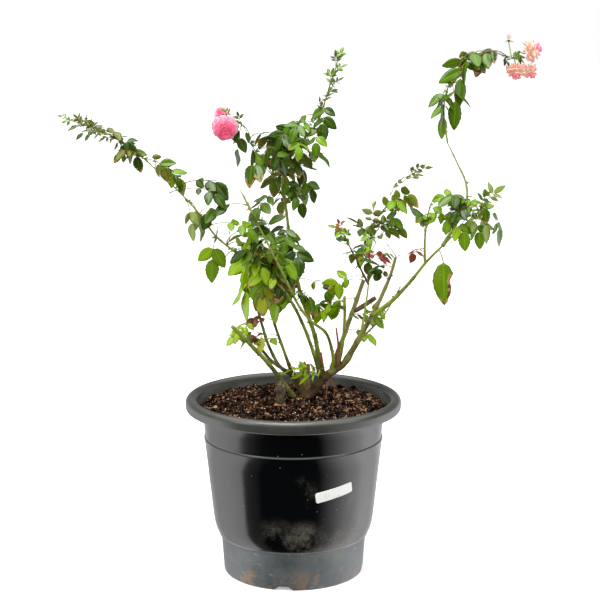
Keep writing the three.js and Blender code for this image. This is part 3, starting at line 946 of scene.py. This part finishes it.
def spread_points(node, count):
    """Points spread evenly through a mass, most of them in its outer half."""
    mesh = nodes[node].data
    tree = BVHTree.FromPolygons([v.co for v in mesh.vertices], [tuple(p.vertices) for p in mesh.polygons])
    low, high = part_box(node)
    middle = (low + high) / 2
    chosen = []
    while len(chosen) < count:
        best = None
        for _ in range(14):
            point = Vector([rng.uniform(low[k], high[k]) for k in range(3)])
            if not inside(tree, point):
                continue
            room = min((point - other).length for other in chosen) if chosen else 1.0
            room += 0.35 * (point - middle).length
            if best is None or room > best[0]:
                best = (room, point)
        if best:
            chosen.append(best[1])
    return chosen, middle


class Growth:
    """The bare wood that one mass's leaves can grow from: points, headings and radii."""

    def __init__(self, middle):
        wood = []
        for limb in limbs:
            if limb.node in OLD_WOOD:
                continue
            for i in range(3, len(limb.line), 2):
                wood.append([limb.line[i], limb.heading[i], limb.radii[i], 0])
        wood.sort(key=lambda entry: (entry[0] - middle).length)
        near = sum(1 for entry in wood if (entry[0] - middle).length < TWIG_REACH)
        self.points = wood[:max(near, FEWEST_POINTS)]

    def nearest(self, target, wanted=0.0, slope=0.3):
        """The point whose distance from the target is nearest the wanted one, little used yet, and
        from which the way to the target rises or falls most nearly as the slope says."""
        def cost(entry):
            point, heading, _, used = entry
            away = unit(target - point)
            backwards = max(0.0, -away.dot(heading)) * 7 * MM
            steep = abs(away.z - slope) * 18 * MM
            return abs((target - point).length - wanted) + backwards + steep + used * 5 * MM
        return min(self.points, key=cost)

    def grow_twig(self, target, stop, slope):
        """A twig from the nearest wood to within stop of the target, added to what can bear leaves."""
        entry = self.nearest(target, 0.0, slope)
        start, heading, radius, _ = entry
        entry[3] += 1
        away = target - start
        end = target - unit(away) * stop
        span = (end - start).length
        if span < 4 * MM:
            return
        control = start + (heading * 0.45 + unit(away) * 0.55) * span * 0.5 + UP * span * 0.08
        steps = max(3, round(span / TWIG_STEP))
        line = [point + Vector(noise.noise_vector(point * 60)) * 0.9 * MM * min(1, i / 2)
                for i, point in enumerate(bow(start, control, end, steps))]
        base = min(radius * 0.75, 0.65 * MM + span * 0.006)
        radii = [base * (1 - 0.5 * i / steps) for i in range(steps + 1)]
        add_tube(twigs, line, radii, 6, 0 if rng.random() < 0.75 else 1)
        for i in range(1, steps + 1):
            self.points.append([line[i], unit(line[i] - line[i - 1]), radii[i], 0])

    def grow_bare_twig(self, low, high):
        """A short thin twig with a bud at its tip and no leaf, starting inside the mass's box."""
        within = [e for e in self.points if all(low[k] < e[0][k] < high[k] for k in range(3))]
        start, heading, radius, _ = rng.choice(within or self.points[:3])
        length = min(rng.uniform(12, 34) * MM, (high - start).length * 0.6, (start - low).length * 0.6)
        way = unit(turned(heading, rng.uniform(0, math.tau)) + heading * 0.6 + UP * 0.3)
        bend = turned(way, rng.uniform(0, math.tau)) * length * 0.12
        line = [start + way * length * t + bend * math.sin(math.pi * t)
                for t in (0, 0.25, 0.5, 0.75, 0.94, 1)]
        fine = min(radius * 0.6, 0.6 * MM)
        widths = [fine, fine * 0.85, fine * 0.75, fine * 0.65, fine * 1.1, fine * 0.3]
        add_tube(twigs, line, widths, 6, rng.choice((0, 1, 1)))


LIGHT_SIDE = Vector((0, -1, 0))     # leaves in front turn their faces this way, those behind away
REAR_FROM = 32 * MM
LEAF_REACH = 2.6         # a compound leaf is this many times as long as its end leaflet
LONGEST_REACH = 72 * MM  # but big leaflets hang on shorter stalks than that
BARE_TWIGS = 2           # leafless side twigs in each mass


def leaf_facing(target, middle, droop):
    """The way a leaf's upper side turns: up, out of its mass, and to the lighter side of the bush."""
    outward = target - middle
    outward = unit(Vector((outward.x, outward.y, 0)) + (middle - PLANT_AXIS) * 0.25)
    light = LIGHT_SIDE if target.y < PLANT_AXIS.y + REAR_FROM else -LIGHT_SIDE
    return unit(UP * (0.75 - 0.4 * droop) + outward * 0.4 + light * 0.6 + scatter(0.5))


def grow_mass(node):
    """Twigs and compound leaves through one mass, from the limbs that reach it."""
    rng.seed(node)
    count, size, twig_count, droop, burnt, tints = GROWTH[node]
    leaflet = size * MM
    reach = min(leaflet * LEAF_REACH, LONGEST_REACH)
    targets, middle = spread_points(node, count)
    growth = Growth(middle)
    slope = 0.45 - 1.5 * droop
    leaders = sorted(targets, key=lambda t: -(growth.nearest(t)[0] - t).length)[:twig_count]
    for leader in leaders:
        growth.grow_twig(leader, reach * 0.4, slope)
    for _ in range(BARE_TWIGS):
        growth.grow_bare_twig(*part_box(node))
    for target in targets:
        entry = growth.nearest(target, reach, slope)
        if (entry[0] - target).length > reach * 1.15:
            growth.grow_twig(target, reach * 0.85, slope)
            entry = growth.nearest(target, reach, slope)
        entry[3] += 1
        start = entry[0]
        span = target + UP * (droop * leaflet * 0.45) - start
        scale = min(1.15, max(0.8, span.length / reach)) * rng.uniform(0.8, 1.12)
        tip = start + unit(span, entry[1]) * max(span.length, leaflet * 1.3)
        facing = leaf_facing(target, middle, droop)
        hurt = rng.uniform(0.2, 0.45) if rng.random() < burnt else 0.0
        pairs = 3 if size < 16 else 2 if span.length > leaflet * 1.9 else 1
        add_leaf(leaf_shapes[region(middle)], start, tip, facing, leaflet * scale, rng.choice(tints),
                 hurt, pairs, droop, NARROW.get(node, LEAFLET_WIDTH))


for mass in GROWTH:
    grow_mass(mass)

# Shoots that end in a tuft of young leaves: how many, their leaflet length in millimetres and tints.
TUFTS = {
    "centre_cane": (6, 11, ("fresh", "leafy", "leafy")),
    "left_cane": (3, 8, ("fresh", "olive", "leafy")),
    "bloom_branch": (4, 9, ("leafy", "fresh", "pale")),
    "tall_arch": (3, 12, ("leafy", "deep")),
    "right_bough": (2, 18, ("leafy", "pale")),
    "front_twig": (3, 9, ("fresh", "rust")),
}


def add_tuft(node):
    """Small leaves held up round the last stretch of a shoot."""
    count, size, tints = TUFTS[node]
    limb = limb_of[node]
    leaflet = size * MM
    for k in range(count):
        start = limb.line[-1 - k * 3]
        way = limb.heading[-1] + turned(limb.heading[-1], k * GOLDEN_ANGLE) * (0.3 + 0.2 * k)
        tip = start + unit(way + UP * 0.2) * leaflet * 1.9
        add_leaf(leaf_shapes[region(start)], start, tip, UP * 0.6 + LIGHT_SIDE + scatter(0.4), leaflet,
                 rng.choice(tints), 0.0, 2, 0.1, 0.45)


for shoot in TUFTS:
    add_tuft(shoot)


def dead_twigs():
    """Russet dead wood left standing among the canes: a bent twig and a short stub."""
    upright = limb_of["upright_stub"].line[0]
    foot = upright + Vector((-3, -7, 8)) * MM
    tip = upright + Vector((-6, -9, 58)) * MM
    line, radii = smooth_line([upright, foot, foot.lerp(tip, 0.5) + Vector((1.5, 0, 0)) * MM, tip],
                              [r * MM for r in (1.8, 1.7, 1.6, 1.2)], 4 * MM)
    add_tube(twigs, line, radii, 8, 2)
    cane = limb_of["centre_cane"].line[6] + Vector((4, -2, -6)) * MM
    line = [cane, cane + Vector((-2, 1, 13)) * MM, cane + Vector((-4, 2, 27)) * MM]
    add_tube(twigs, line, [2.6 * MM, 2.4 * MM, 2.2 * MM], 10, 2)


dead_twigs()


def single_hanging_leaf():
    """The one big torn leaf that hangs on a long stalk under the right bough."""
    low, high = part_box("hanging_leaf_right")
    middle = (low + high) / 2
    top = Vector((middle.x - 2 * MM, middle.y, high.z))
    bough = min(limb_of["right_bough"].line, key=lambda p: (p - top).length)
    line = arched(bough, top, UP * 4 * MM, (0, 0.25, 0.5, 0.75, 1))
    add_tube(leaf_shapes["right"], line, [0.8 * MM] * 5, 6, LEAF["pale"])
    add_leaflet(leaf_shapes["right"], top, Vector((0.03, 0, -1)), Vector((-0.25, -1, 0.25)),
                high.z - low.z, "fresh", 0.16, 0.52, torn=True)


single_hanging_leaf()

MASSES_OF = defaultdict(list)
for mass in list(GROWTH) + ["hanging_leaf_right"]:
    low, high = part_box(mass)
    MASSES_OF[region((low + high) / 2)].append(mass)
for side, shape in leaf_shapes.items():
    piece = shape.make("leaves_" + side, leaf_slots, "leaf")
    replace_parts(piece, *MASSES_OF[side])
twig_colours = [plain("twig_green", 0x6E7E2C, 0.6), plain("twig_brown", 0x5E4628, 0.8),
                plain("twig_russet", 0x8A4E34, 0.8)]
twigs.make("twigs", twig_colours, "green_cane")


# ---------------------------------------------------------------- blooms

PETAL_TINTS = {
    "heart": 0xEC6C92, "rose": 0xF68CAC, "blush": 0xFAB2C6, "shell": 0xECBCAA, "cream": 0xF0CDB8,
}
petal_slots = [petal_material(name, colour) for name, colour in PETAL_TINTS.items()]
PINK = {name: index for index, name in enumerate(PETAL_TINTS)}
blossom = Shape()
calyxes = Shape()


def add_petal(base, axis, out, length, width, cup, curl, body, edge):
    """One petal: a cupped blade of two skins, its rim in its own tint."""
    side = axis.cross(out).normalized()
    rows, columns = 5, 4
    ruffle = rng.uniform(0, 6)
    points = []
    index = {}
    for skin in (0, 1):
        for row in range(rows + 1):
            v = row / rows
            wide = width / 2 * (0.28 + 0.72 * math.sin(math.pi * min(1, v * 1.08) * 0.62) ** 1.2)
            wide *= 1 - 0.3 * v ** 8
            for column in range(columns + 1):
                u = 2 * column / columns - 1
                rim = row in (0, rows) or column in (0, columns)
                if skin and rim:
                    index[1, row, column] = index[0, row, column]
                    continue
                tip_dip = 0.12 * length * abs(u) ** 2 * v
                point = base + axis * (length * v * (1 - 0.12 * curl * v) - tip_dip) + side * wide * u
                bend = cup * wide * u * u - curl * length * v * v
                bend += 0.03 * length * math.sin(ruffle + 4 * u) * v * v
                point -= out * (bend + skin * 0.3 * MM)
                index[skin, row, column] = len(points)
                points.append(point)
    faces = []
    slots = []
    for skin in (0, 1):
        for row in range(rows):
            for column in range(columns):
                quad = [index[skin, row, column], index[skin, row, column + 1],
                        index[skin, row + 1, column + 1], index[skin, row + 1, column]]
                faces.append(tuple(reversed(quad)) if skin else tuple(quad))
                slots.append(edge if row == rows - 1 else body)
    blossom.add(points, faces, slots)


def add_bloom(centre, axis, radius, petals, opening, tints):
    """A full double bloom: petals in a spiral from a tight heart to reflexed outer ones."""
    axis = unit(axis)
    foot = centre - axis * radius * 0.45
    for i in range(petals):
        t = (i + 0.5) / petals
        lean = math.radians(8 + opening * t ** 0.8)
        around = turned(axis, i * GOLDEN_ANGLE + rng.uniform(-0.2, 0.2))
        heading = unit(axis * math.cos(lean) + around * math.sin(lean))
        out = across(heading, around * math.cos(lean) - axis * math.sin(lean))
        length = radius * (1.12 - 0.22 * t) * rng.uniform(0.94, 1.04)
        start = foot + around * radius * (0.04 + 0.2 * t) + axis * radius * 0.25 * (1 - t)
        tint = tints[min(len(tints) - 1, int(t * len(tints)))]
        edge = tint if rng.random() < 0.4 else tints[min(len(tints) - 1, int(t * len(tints)) + 1)]
        curl = 0.05 + 0.16 * t if rng.random() < 0.7 else -0.12
        add_petal(start, heading, out, length, radius * (0.62 + 0.4 * t), 0.55, curl, PINK[tint], PINK[edge])


def add_calyx(centre, axis, size):
    """A green cup under a bloom with five narrow sepals."""
    axis = unit(axis)
    line = [centre - axis * size * k for k in (-0.3, 0, 0.5, 0.9, 1.2)]
    add_tube(calyxes, line, [size * w for w in (0.55, 0.62, 0.5, 0.3, 0.2)], 9, LEAF["leafy"])
    for k in range(5):
        around = turned(axis, k * math.tau / 5)
        heading = unit(around - axis * rng.uniform(0.1, 0.7))
        add_leaflet(calyxes, centre + around * size * 0.4, heading, axis, size * 2.4,
                    rng.choice(("leafy", "pale", "rust")), 0.0, 0.28)


def add_stalk(start, end, radius, lift=0.0, tint="pale"):
    """A thin flower stalk."""
    line = arched(start, end, UP * lift, (0, 0.2, 0.4, 0.6, 0.8, 1))
    add_tube(calyxes, line, [radius] * 6, 6, LEAF[tint])


def left_blooms():
    """A nodding pompom in front of a smaller old bloom, on the tip of its branch."""
    low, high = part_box("bloom_left")
    middle = (low + high) / 2
    branch = limb_of["bloom_branch"].line[-1]
    ball = middle + Vector((1.7, -4.6, -8.5)) * MM
    down = Vector((0.15, -0.75, -0.55))
    add_bloom(ball, down, 15.5 * MM, 84, 112, ("heart", "rose", "rose", "blush", "blush"))
    add_calyx(ball - unit(down) * 10 * MM, down, 3.6 * MM)
    add_stalk(branch, ball - unit(down) * 13 * MM, 0.7 * MM, 4 * MM)
    small = middle + Vector((-4.5, 5.4, 12.0)) * MM
    up_left = Vector((-0.35, -0.75, 0.45))
    add_bloom(small, up_left, 9.6 * MM, 34, 95, ("rose", "rose", "blush", "blush"))
    add_calyx(small - unit(up_left) * 6 * MM, up_left, 2.6 * MM)
    add_stalk(branch, small - unit(up_left) * 8 * MM, 0.6 * MM, 3 * MM, "rust")


def right_blooms():
    """Three pale blooms seen partly from behind, and a bud, at the end of the arching shoot."""
    low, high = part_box("blooms_right")
    size = high - low
    tip = limb_of["tall_arch"].line[-1]
    tints = ("rose", "shell", "shell", "cream", "shell")
    for place, axis, radius, petals in (
        ((0.80, 0.5, 0.66), (0.75, -0.2, 0.3), 15.0, 34),
        ((0.32, 0.35, 0.22), (0.0, -0.35, -0.75), 13.0, 30),
        ((0.78, 0.65, 0.2), (0.4, -0.3, -0.6), 11.0, 26),
    ):
        centre = low + Vector([size[k] * place[k] for k in range(3)])
        axis = unit(Vector(axis))
        add_bloom(centre, axis, radius * MM, petals, 92, tints)
        add_calyx(centre - axis * radius * 0.55 * MM, axis, 3.4 * MM)
        add_stalk(tip, centre - axis * radius * 0.85 * MM, 0.7 * MM, 5 * MM)
    bud = low + Vector((size.x * 0.12, size.y * 0.45, size.z * 0.94))
    add_bloom(bud, Vector((-0.1, -0.1, 1)), 5.5 * MM, 12, 30, ("rose", "shell", "cream"))
    add_calyx(bud - UP * 4.5 * MM, UP, 3 * MM)
    add_stalk(tip, bud - UP * 7 * MM, 0.7 * MM, 0.0)


left_blooms()
right_blooms()
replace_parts(blossom.make("petals", petal_slots, "blossom"), "bloom_left", "blooms_right")
calyxes.make("calyxes", leaf_slots, "leaf")


# ---------------------------------------------------------------- potting mix

LEVEL_TO = 70 * MM          # the potting mix is level out to this radius, then falls towards the wall
FALL_WIDTH = 60 * MM
FALL = 6 * MM
LUMPS = ((3.6, 55), (2.2, 140), (0.9, 330))     # height of its lumps in millimetres, and their fineness
MIX_MOUTH = 130 * MM        # radius of its surface
MIX_FLOOR = 94.5 * MM       # radius of its underside
# Its side under the surface, radius and height in millimetres, just inside the wall of the pot.
MIX_SIDE = ((98.4, 53), (109.4, 86), (119.4, 193), (123.4, 222))


def soil_level(spot):
    """How high the potting mix lies at a spot: flat in the middle, lower at the wall, and lumpy."""
    fall = min(1.0, max(0.0, (math.hypot(spot.x, spot.y) - LEVEL_TO) / FALL_WIDTH))
    lumps = sum(height * noise.noise(spot * fineness) for height, fineness in LUMPS)
    return SOIL_TOP - FALL * fall + (lumps - 1.0) * MM


def soil_piece():
    """The potting mix: a lumpy surface over the plain body that fills the pot."""
    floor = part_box("soil")[0].z
    around, steps = 128, 44
    turns = [math.tau * k / around for k in range(around)]
    side = [(MIX_FLOOR, floor)] + [(radius * MM, height * MM) for radius, height in MIX_SIDE]
    rings = [[polar(radius, angle, height) for angle in turns] for radius, height in side]
    for step in range(steps):
        spots = [polar(MIX_MOUTH * (1 - step / steps), angle) for angle in turns]
        rings.append([spot + UP * soil_level(spot) for spot in spots])
    shape = Shape()
    add_turned(shape, rings, UP * floor, UP * SOIL_TOP)
    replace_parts(shape.make("potting_mix", [soil_material()], "potting_mix"), "soil")


CRUMBS = 9000
CRUMBS_TO = 128 * MM        # they lie within this radius
LARGEST_CRUMB = 4.5         # millimetres
# Colour of each kind of crumb, and its share.
CRUMB_COLOURS = (
    ("crumb_dark", 0x080403, 42), ("crumb_brown", 0x3A2519, 26), ("crumb_dry", 0x86684F, 18),
    ("crumb_red", 0x5E3A28, 6), ("crumb_tan", 0xC4A680, 6), ("crumb_pale", 0xDCD4C4, 1.6),
)


def rough_ball():
    """The corners and faces of an icosahedron, from which each crumb is stretched."""
    phi = (1 + 5 ** 0.5) / 2
    hull = bmesh.new()
    for a in (-1, 1):
        for b in (-phi, phi):
            for corner in ((0, a, b), (a, b, 0), (b, 0, a)):
                hull.verts.new(Vector(corner).normalized())
    bmesh.ops.convex_hull(hull, input=hull.verts)
    hull.verts.index_update()
    faces = [tuple(v.index for v in face.verts) for face in hull.faces]
    corners = [v.co.copy() for v in hull.verts]
    hull.free()
    return corners, faces


def crumbs_piece():
    """Loose crumbs, bark chips and a few white grains over the potting mix, with more dark crumbs in random
    patches.
    """
    ball, faces = rough_ball()
    weights = [share for _, _, share in CRUMB_COLOURS]
    shape = Shape()
    for _ in range(CRUMBS):
        radius = CRUMBS_TO * math.sqrt(rng.random())
        spot = polar(radius, rng.uniform(0, math.tau))
        # Dark crumbs grow commoner where a coarse noise is low, in random patches.
        dark_patch_weight = 3 ** (-4 * noise.noise(spot * 60))
        kind = rng.choices(range(len(CRUMB_COLOURS)), [weights[0] * dark_patch_weight] + weights[1:])[0]
        size = min(LARGEST_CRUMB, rng.lognormvariate(-0.2, 0.62)) * MM * (0.6 if kind > 3 else 1.0)
        centre = spot + UP * (soil_level(spot) + rng.uniform(-0.6, 2.4) * MM)
        spin = Matrix.Rotation(rng.uniform(0, math.tau), 3, Vector([rng.gauss(0, 1) for _ in range(3)]))
        stretch = Matrix.Diagonal((rng.uniform(0.7, 1.5), rng.uniform(0.7, 1.2), rng.uniform(0.4, 0.9)))
        turn = spin @ stretch
        shape.add([centre + turn @ (v * size * rng.uniform(0.75, 1.15)) for v in ball], faces, kind)
    colours = [plain(name, colour, 0.95, 0.05) for name, colour, _ in CRUMB_COLOURS]
    shape.make("soil_crumbs", colours, "potting_mix", smooth=False)


FALLEN_LEAFLETS = 9
DEAD_STEMS = ((7, -20, 6), (-5, -27, 4))    # where each ends from the crown, across and back, and its bow


def litter_piece():
    """Dry fallen leaflets and two thin dead stems on the potting mix."""
    shape = Shape()
    for _ in range(FALLEN_LEAFLETS):
        angle = rng.uniform(0, math.tau)
        spot = polar(rng.uniform(30, 115) * MM, angle, SOIL_TOP + 1 * MM)
        flat = Vector((rng.uniform(-1, 1), rng.uniform(-1, 1), rng.uniform(-0.05, 0.15)))
        add_leaflet(shape, spot, flat, UP + scatter(0.4), rng.uniform(12, 24) * MM,
                    rng.choice(("olive", "rust", "rust")), 0.9)
    crown = limb_of["right_cane"].line[3]
    for dx, dy, curve in DEAD_STEMS:
        foot = Vector((crown.x + dx * MM, crown.y + dy * MM, SOIL_TOP))
        line = arched(crown, foot, Vector((curve * MM, 0, 0)), (0, 0.2, 0.4, 0.6, 0.8, 1.05))
        line = [p + Vector(noise.noise_vector(p * 90)) * 3 * MM for p in line]
        add_tube(shape, *smooth_line(line, [r * MM for r in (1.0, 0.8, 0.8, 0.6, 0.6, 0.5)], 2 * MM), 6,
                 LEAF["brown"])
    shape.make("litter", leaf_slots, "old_wood")


soil_piece()
crumbs_piece()
litter_piece()


# ---------------------------------------------------------------- pot

POT_TURNS = 192
WALL_LOW = (113.1, 88)      # the straight wall: radius and height of its ends in millimetres
WALL_HIGH = (124.2, 190.8)
NOTCHES = 4
NOTCH_START = math.radians(-98)
# A notch's outline, across and up, and the radii between which it is cut, in millimetres.
NOTCH_OUTLINE = ((-13, -6), (13, -6), (13, 0.5), (6, 6), (-6, 6), (-13, 0.5))
NOTCH_RADII = (80, 110)


def arc(centre, radius_x, radius_y, start, end, steps):
    """Points on an elliptical arc in the radius and height plane, angles in degrees."""
    made = []
    for k in range(steps + 1):
        angle = math.radians(start + (end - start) * k / steps)
        made.append((centre[0] + radius_x * math.cos(angle), centre[1] + radius_y * math.sin(angle)))
    return made


def pot_profile():
    """The pot in section, in millimetres, from the middle of its underside round to its floor."""
    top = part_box("pot")[1].z / MM
    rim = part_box("pot")[1].x / MM
    profile = [(0, 0), (40, 0), (95.5, 0)] + arc((96.2, 1.8), 1.8, 1.8, -90, 0, 4)
    profile += [(99.2, 20), (101.6, 51.5)] + arc((103.4, 53.6), 1.2, 1.2, -120, 20, 4)
    profile += [(106.6, 58.5), (108.9, 64), (110.8, 71), (112.1, 79), WALL_LOW, (117.4, 128)]
    profile += [(121.6, 168), WALL_HIGH] + arc((123.0, 191.6), 1.7, 1.7, 0, 85, 4)
    profile += [(123.1, 194.6), (123.6, 200), (124.9, 214), (126.6, 226), (129.2, top - 18.2)]
    profile += [(132.5, top - 17.9), (rim - 5, top - 17.9)]
    profile += arc((rim - 4.6, top - 13.6), 4.3, 4.3, -90, 0, 6)
    profile += arc((rim - 8, top - 7.8), 7.9, 7.8, 4, 172, 16)
    profile += [(rim - 17.4, top - 12), (127.4, 230), (124, 222), (121.2, 200), (119.9, 193)]
    profile += [(115.5, 150), (110.2, 90), (108.6, 78), (105, 62), (99, 54), (98.6, 50), (95.2, 6)]
    profile += [(93.6, 4.2), (60, 4), (0, 4)]
    return [(r * MM, z * MM) for r, z in profile]


def notch_cutter():
    """A prism for each drainage notch, with its faces outward, as the Boolean needs."""
    cutters = Shape()
    sides = len(NOTCH_OUTLINE)
    ends = [tuple(reversed(range(sides))), tuple(range(sides, 2 * sides))]
    for k in range(NOTCHES):
        turn = Matrix.Rotation(NOTCH_START + k * math.tau / NOTCHES, 3, "Z")
        points = [turn @ Vector((radius * MM, y * MM, z * MM)) for radius in NOTCH_RADII
                  for y, z in NOTCH_OUTLINE]
        cutters.add(points, ring_faces(2, sides) + ends, 0)
    return cutters.make("notch_cutter", [], "pot_plastic")


def pot_piece():
    """The pot turned from its section, with its drainage notches cut at the foot."""
    profile = pot_profile()
    turns = [math.tau * k / POT_TURNS for k in range(POT_TURNS)]
    rings = [[polar(radius, angle, height) for angle in turns] for radius, height in profile[1:-1]]
    shape = Shape()
    add_turned(shape, rings, UP * profile[0][1], UP * profile[-1][1])
    piece = shape.make("pot_shell", [pot_material()], "pot_plastic")
    cutter = notch_cutter()
    cut = piece.modifiers.new("notches", "BOOLEAN")
    cut.operation = "DIFFERENCE"
    cut.solver = "EXACT"
    cut.object = cutter
    apply_modifiers(piece)
    bpy.data.objects.remove(cutter)
    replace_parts(piece, "pot")


pot_piece()

LABEL_LONG = 56 * MM
LABEL_TALL = 15 * MM
LABEL_CORNER = 2.2 * MM
LABEL_SLANT = math.radians(9.5)
LABEL_TURN = math.atan2(-105.3, 55.4)       # its middle, round the pot
LABEL_HEIGHT = 140.5 * MM                   # and above the ground
LABEL_SKINS = (0.34 * MM, 0.12 * MM)        # how far its face and its back stand off the wall


def label_piece():
    """A blank white price label, stuck on a slant and following the wall."""
    columns, rows = 28, 8
    slope = (WALL_HIGH[0] - WALL_LOW[0]) / (WALL_HIGH[1] - WALL_LOW[1])
    points = []
    for lift in LABEL_SKINS:
        for row in range(rows + 1):
            v = (row / rows - 0.5) * LABEL_TALL
            inset = max(0.0, LABEL_CORNER - (LABEL_TALL / 2 - abs(v)))
            cut = LABEL_CORNER - math.sqrt(max(0.0, LABEL_CORNER ** 2 - inset ** 2))
            limit = LABEL_LONG / 2 - cut
            for column in range(columns + 1):
                u = max(-limit, min(limit, (column / columns - 0.5) * LABEL_LONG))
                x = u * math.cos(LABEL_SLANT) - v * math.sin(LABEL_SLANT)
                height = LABEL_HEIGHT + u * math.sin(LABEL_SLANT) + v * math.cos(LABEL_SLANT)
                wall = (WALL_LOW[0] + (height / MM - WALL_LOW[1]) * slope) * MM
                points.append(polar(wall + lift, LABEL_TURN + x / wall, height))
    count = (rows + 1) * (columns + 1)
    faces = []
    for row in range(rows):
        for column in range(columns):
            a = row * (columns + 1) + column
            quad = (a, a + 1, a + columns + 2, a + columns + 1)
            faces.append(quad)
            faces.append(tuple(count + i for i in reversed(quad)))
    edge = list(range(columns + 1))
    edge += [row * (columns + 1) + columns for row in range(1, rows + 1)]
    edge += [rows * (columns + 1) + column for column in range(columns - 1, -1, -1)]
    edge += [row * (columns + 1) for row in range(rows - 1, 0, -1)]
    for a, b in zip(edge, edge[1:] + edge[:1]):
        faces.append((b, a, a + count, b + count))
    shape = Shape()
    shape.add(points, faces, 0)
    material, shader = new_material("label_paper")
    n = Nodes(material)
    grime = n.ramp(n.noise(90, 5, 0.6), 0.5, 0.8)
    n.link(n.mix(grime, 0xF4F4F0, 0xD9D8D0), shader.inputs["Base Color"])
    shader.inputs["Roughness"].default_value = 0.4
    shape.make("blank_label", [material], "pot_plastic")


label_piece()


# ---------------------------------------------------------------- stage, light and camera

FLOOR = 40                  # metres from the middle of the floor to its edges

# The camera, solved from the ellipses of the pot's rings.
LENS = 86.6
CAMERA_AT = (0, -1.954, 0.736)
PITCH = math.radians(-10.23)
YAW = math.radians(-0.27)


def stage():
    """A wide pale floor."""
    mesh = bpy.data.meshes.new("floor")
    corners = [(-FLOOR, -FLOOR, 0), (FLOOR, -FLOOR, 0), (FLOOR, FLOOR, 0), (-FLOOR, FLOOR, 0)]
    mesh.from_pydata(corners, [], [(0, 1, 2, 3)])
    floor = bpy.data.objects.new("floor", mesh)
    bpy.context.scene.collection.objects.link(floor)
    white = plain("floor_white", 0xF6F6F6, 0.9, 0.1, Emission_Color=(1, 1, 1, 1), Emission_Strength=0.35)
    mesh.materials.append(white)
    floor.visible_glossy = False
    floor.visible_diffuse = False


def area_light(name, place, size, power):
    """A white softbox that faces the middle of the bush."""
    data = bpy.data.lights.new(name, "AREA")
    data.shape = "RECTANGLE"
    data.size, data.size_y = size
    data.energy = power
    lamp = bpy.data.objects.new(name, data)
    lamp.location = place
    lamp.rotation_euler = (Vector((0, 0, 0.4)) - Vector(place)).to_track_quat("-Z", "Y").to_euler()
    bpy.context.scene.collection.objects.link(lamp)


# What a glossy surface sees low down, turning from behind by the left, the front and the right back
# to behind: place round the turn and brightness. The dark stretch in front is a black card.
CARD = (
    (0.0, 0.6), (0.12, 1.0), (0.22, 2.4), (0.29, 2.8), (0.3, 0.3), (0.36, 0.12), (0.37, 0.0), (0.6, 0.0),
    (0.65, 0.9), (0.72, 2.4), (0.8, 2.9), (0.88, 1.3), (1.0, 0.6),
)


def world_light():
    """White to the eye; soft light from above; glossy surfaces see a studio with a black card in front."""
    world = bpy.data.worlds.new("studio")
    bpy.context.scene.world = world
    world.use_nodes = True
    n = Nodes(world)
    parts = n.parts(n.places["Generated"])
    turn = n.math("ARCTAN2", parts["X"], n.math("MULTIPLY", parts["Y"], -1))
    card = n.add("ShaderNodeValToRGB")
    n.link(n.ramp(turn, -math.pi, math.pi, style="LINEAR"), card.inputs["Fac"])
    while len(card.color_ramp.elements) < len(CARD):
        card.color_ramp.elements.new(0.5)
    for element, (position, value) in zip(card.color_ramp.elements, CARD):
        element.position = position
        element.color = (value, value, value * 1.02, 1)
    sky = n.mix(n.ramp(parts["Z"], 0.55, 0.85), 0.15, 3.0)
    glossy = n.mix(n.ramp(parts["Z"], -0.05, 0.25), card.outputs["Color"], sky)
    diffuse = n.mix(n.ramp(parts["Z"], -0.3, 0.5), 0.7, 1.1)
    path = n.add("ShaderNodeLightPath").outputs
    seen = n.mix(path["Is Camera Ray"], n.mix(path["Is Glossy Ray"], diffuse, glossy), 1.0)
    n.link(seen, n.tree.nodes["Background"].inputs["Color"])


def camera():
    """The camera stands in front of the pot, a little above the crown, and looks slightly down."""
    data = bpy.data.cameras.new("camera")
    data.lens = LENS
    data.sensor_width = 36
    view = bpy.data.objects.new("camera", data)
    view.location = CAMERA_AT
    view.rotation_euler = (math.radians(90) + PITCH, 0, YAW)
    bpy.context.scene.collection.objects.link(view)
    bpy.context.scene.camera = view


stage()
area_light("overhead", (-0.3, -0.5, 2.3), (1.2, 1.2), 40)
area_light("left_softbox", (-1.7, -1.1, 1.5), (0.9, 1.2), 12)
area_light("right_softbox", (1.9, -0.9, 1.5), (0.9, 1.2), 9)
world_light()
camera()
bpy.context.scene.view_settings.view_transform = "Standard"
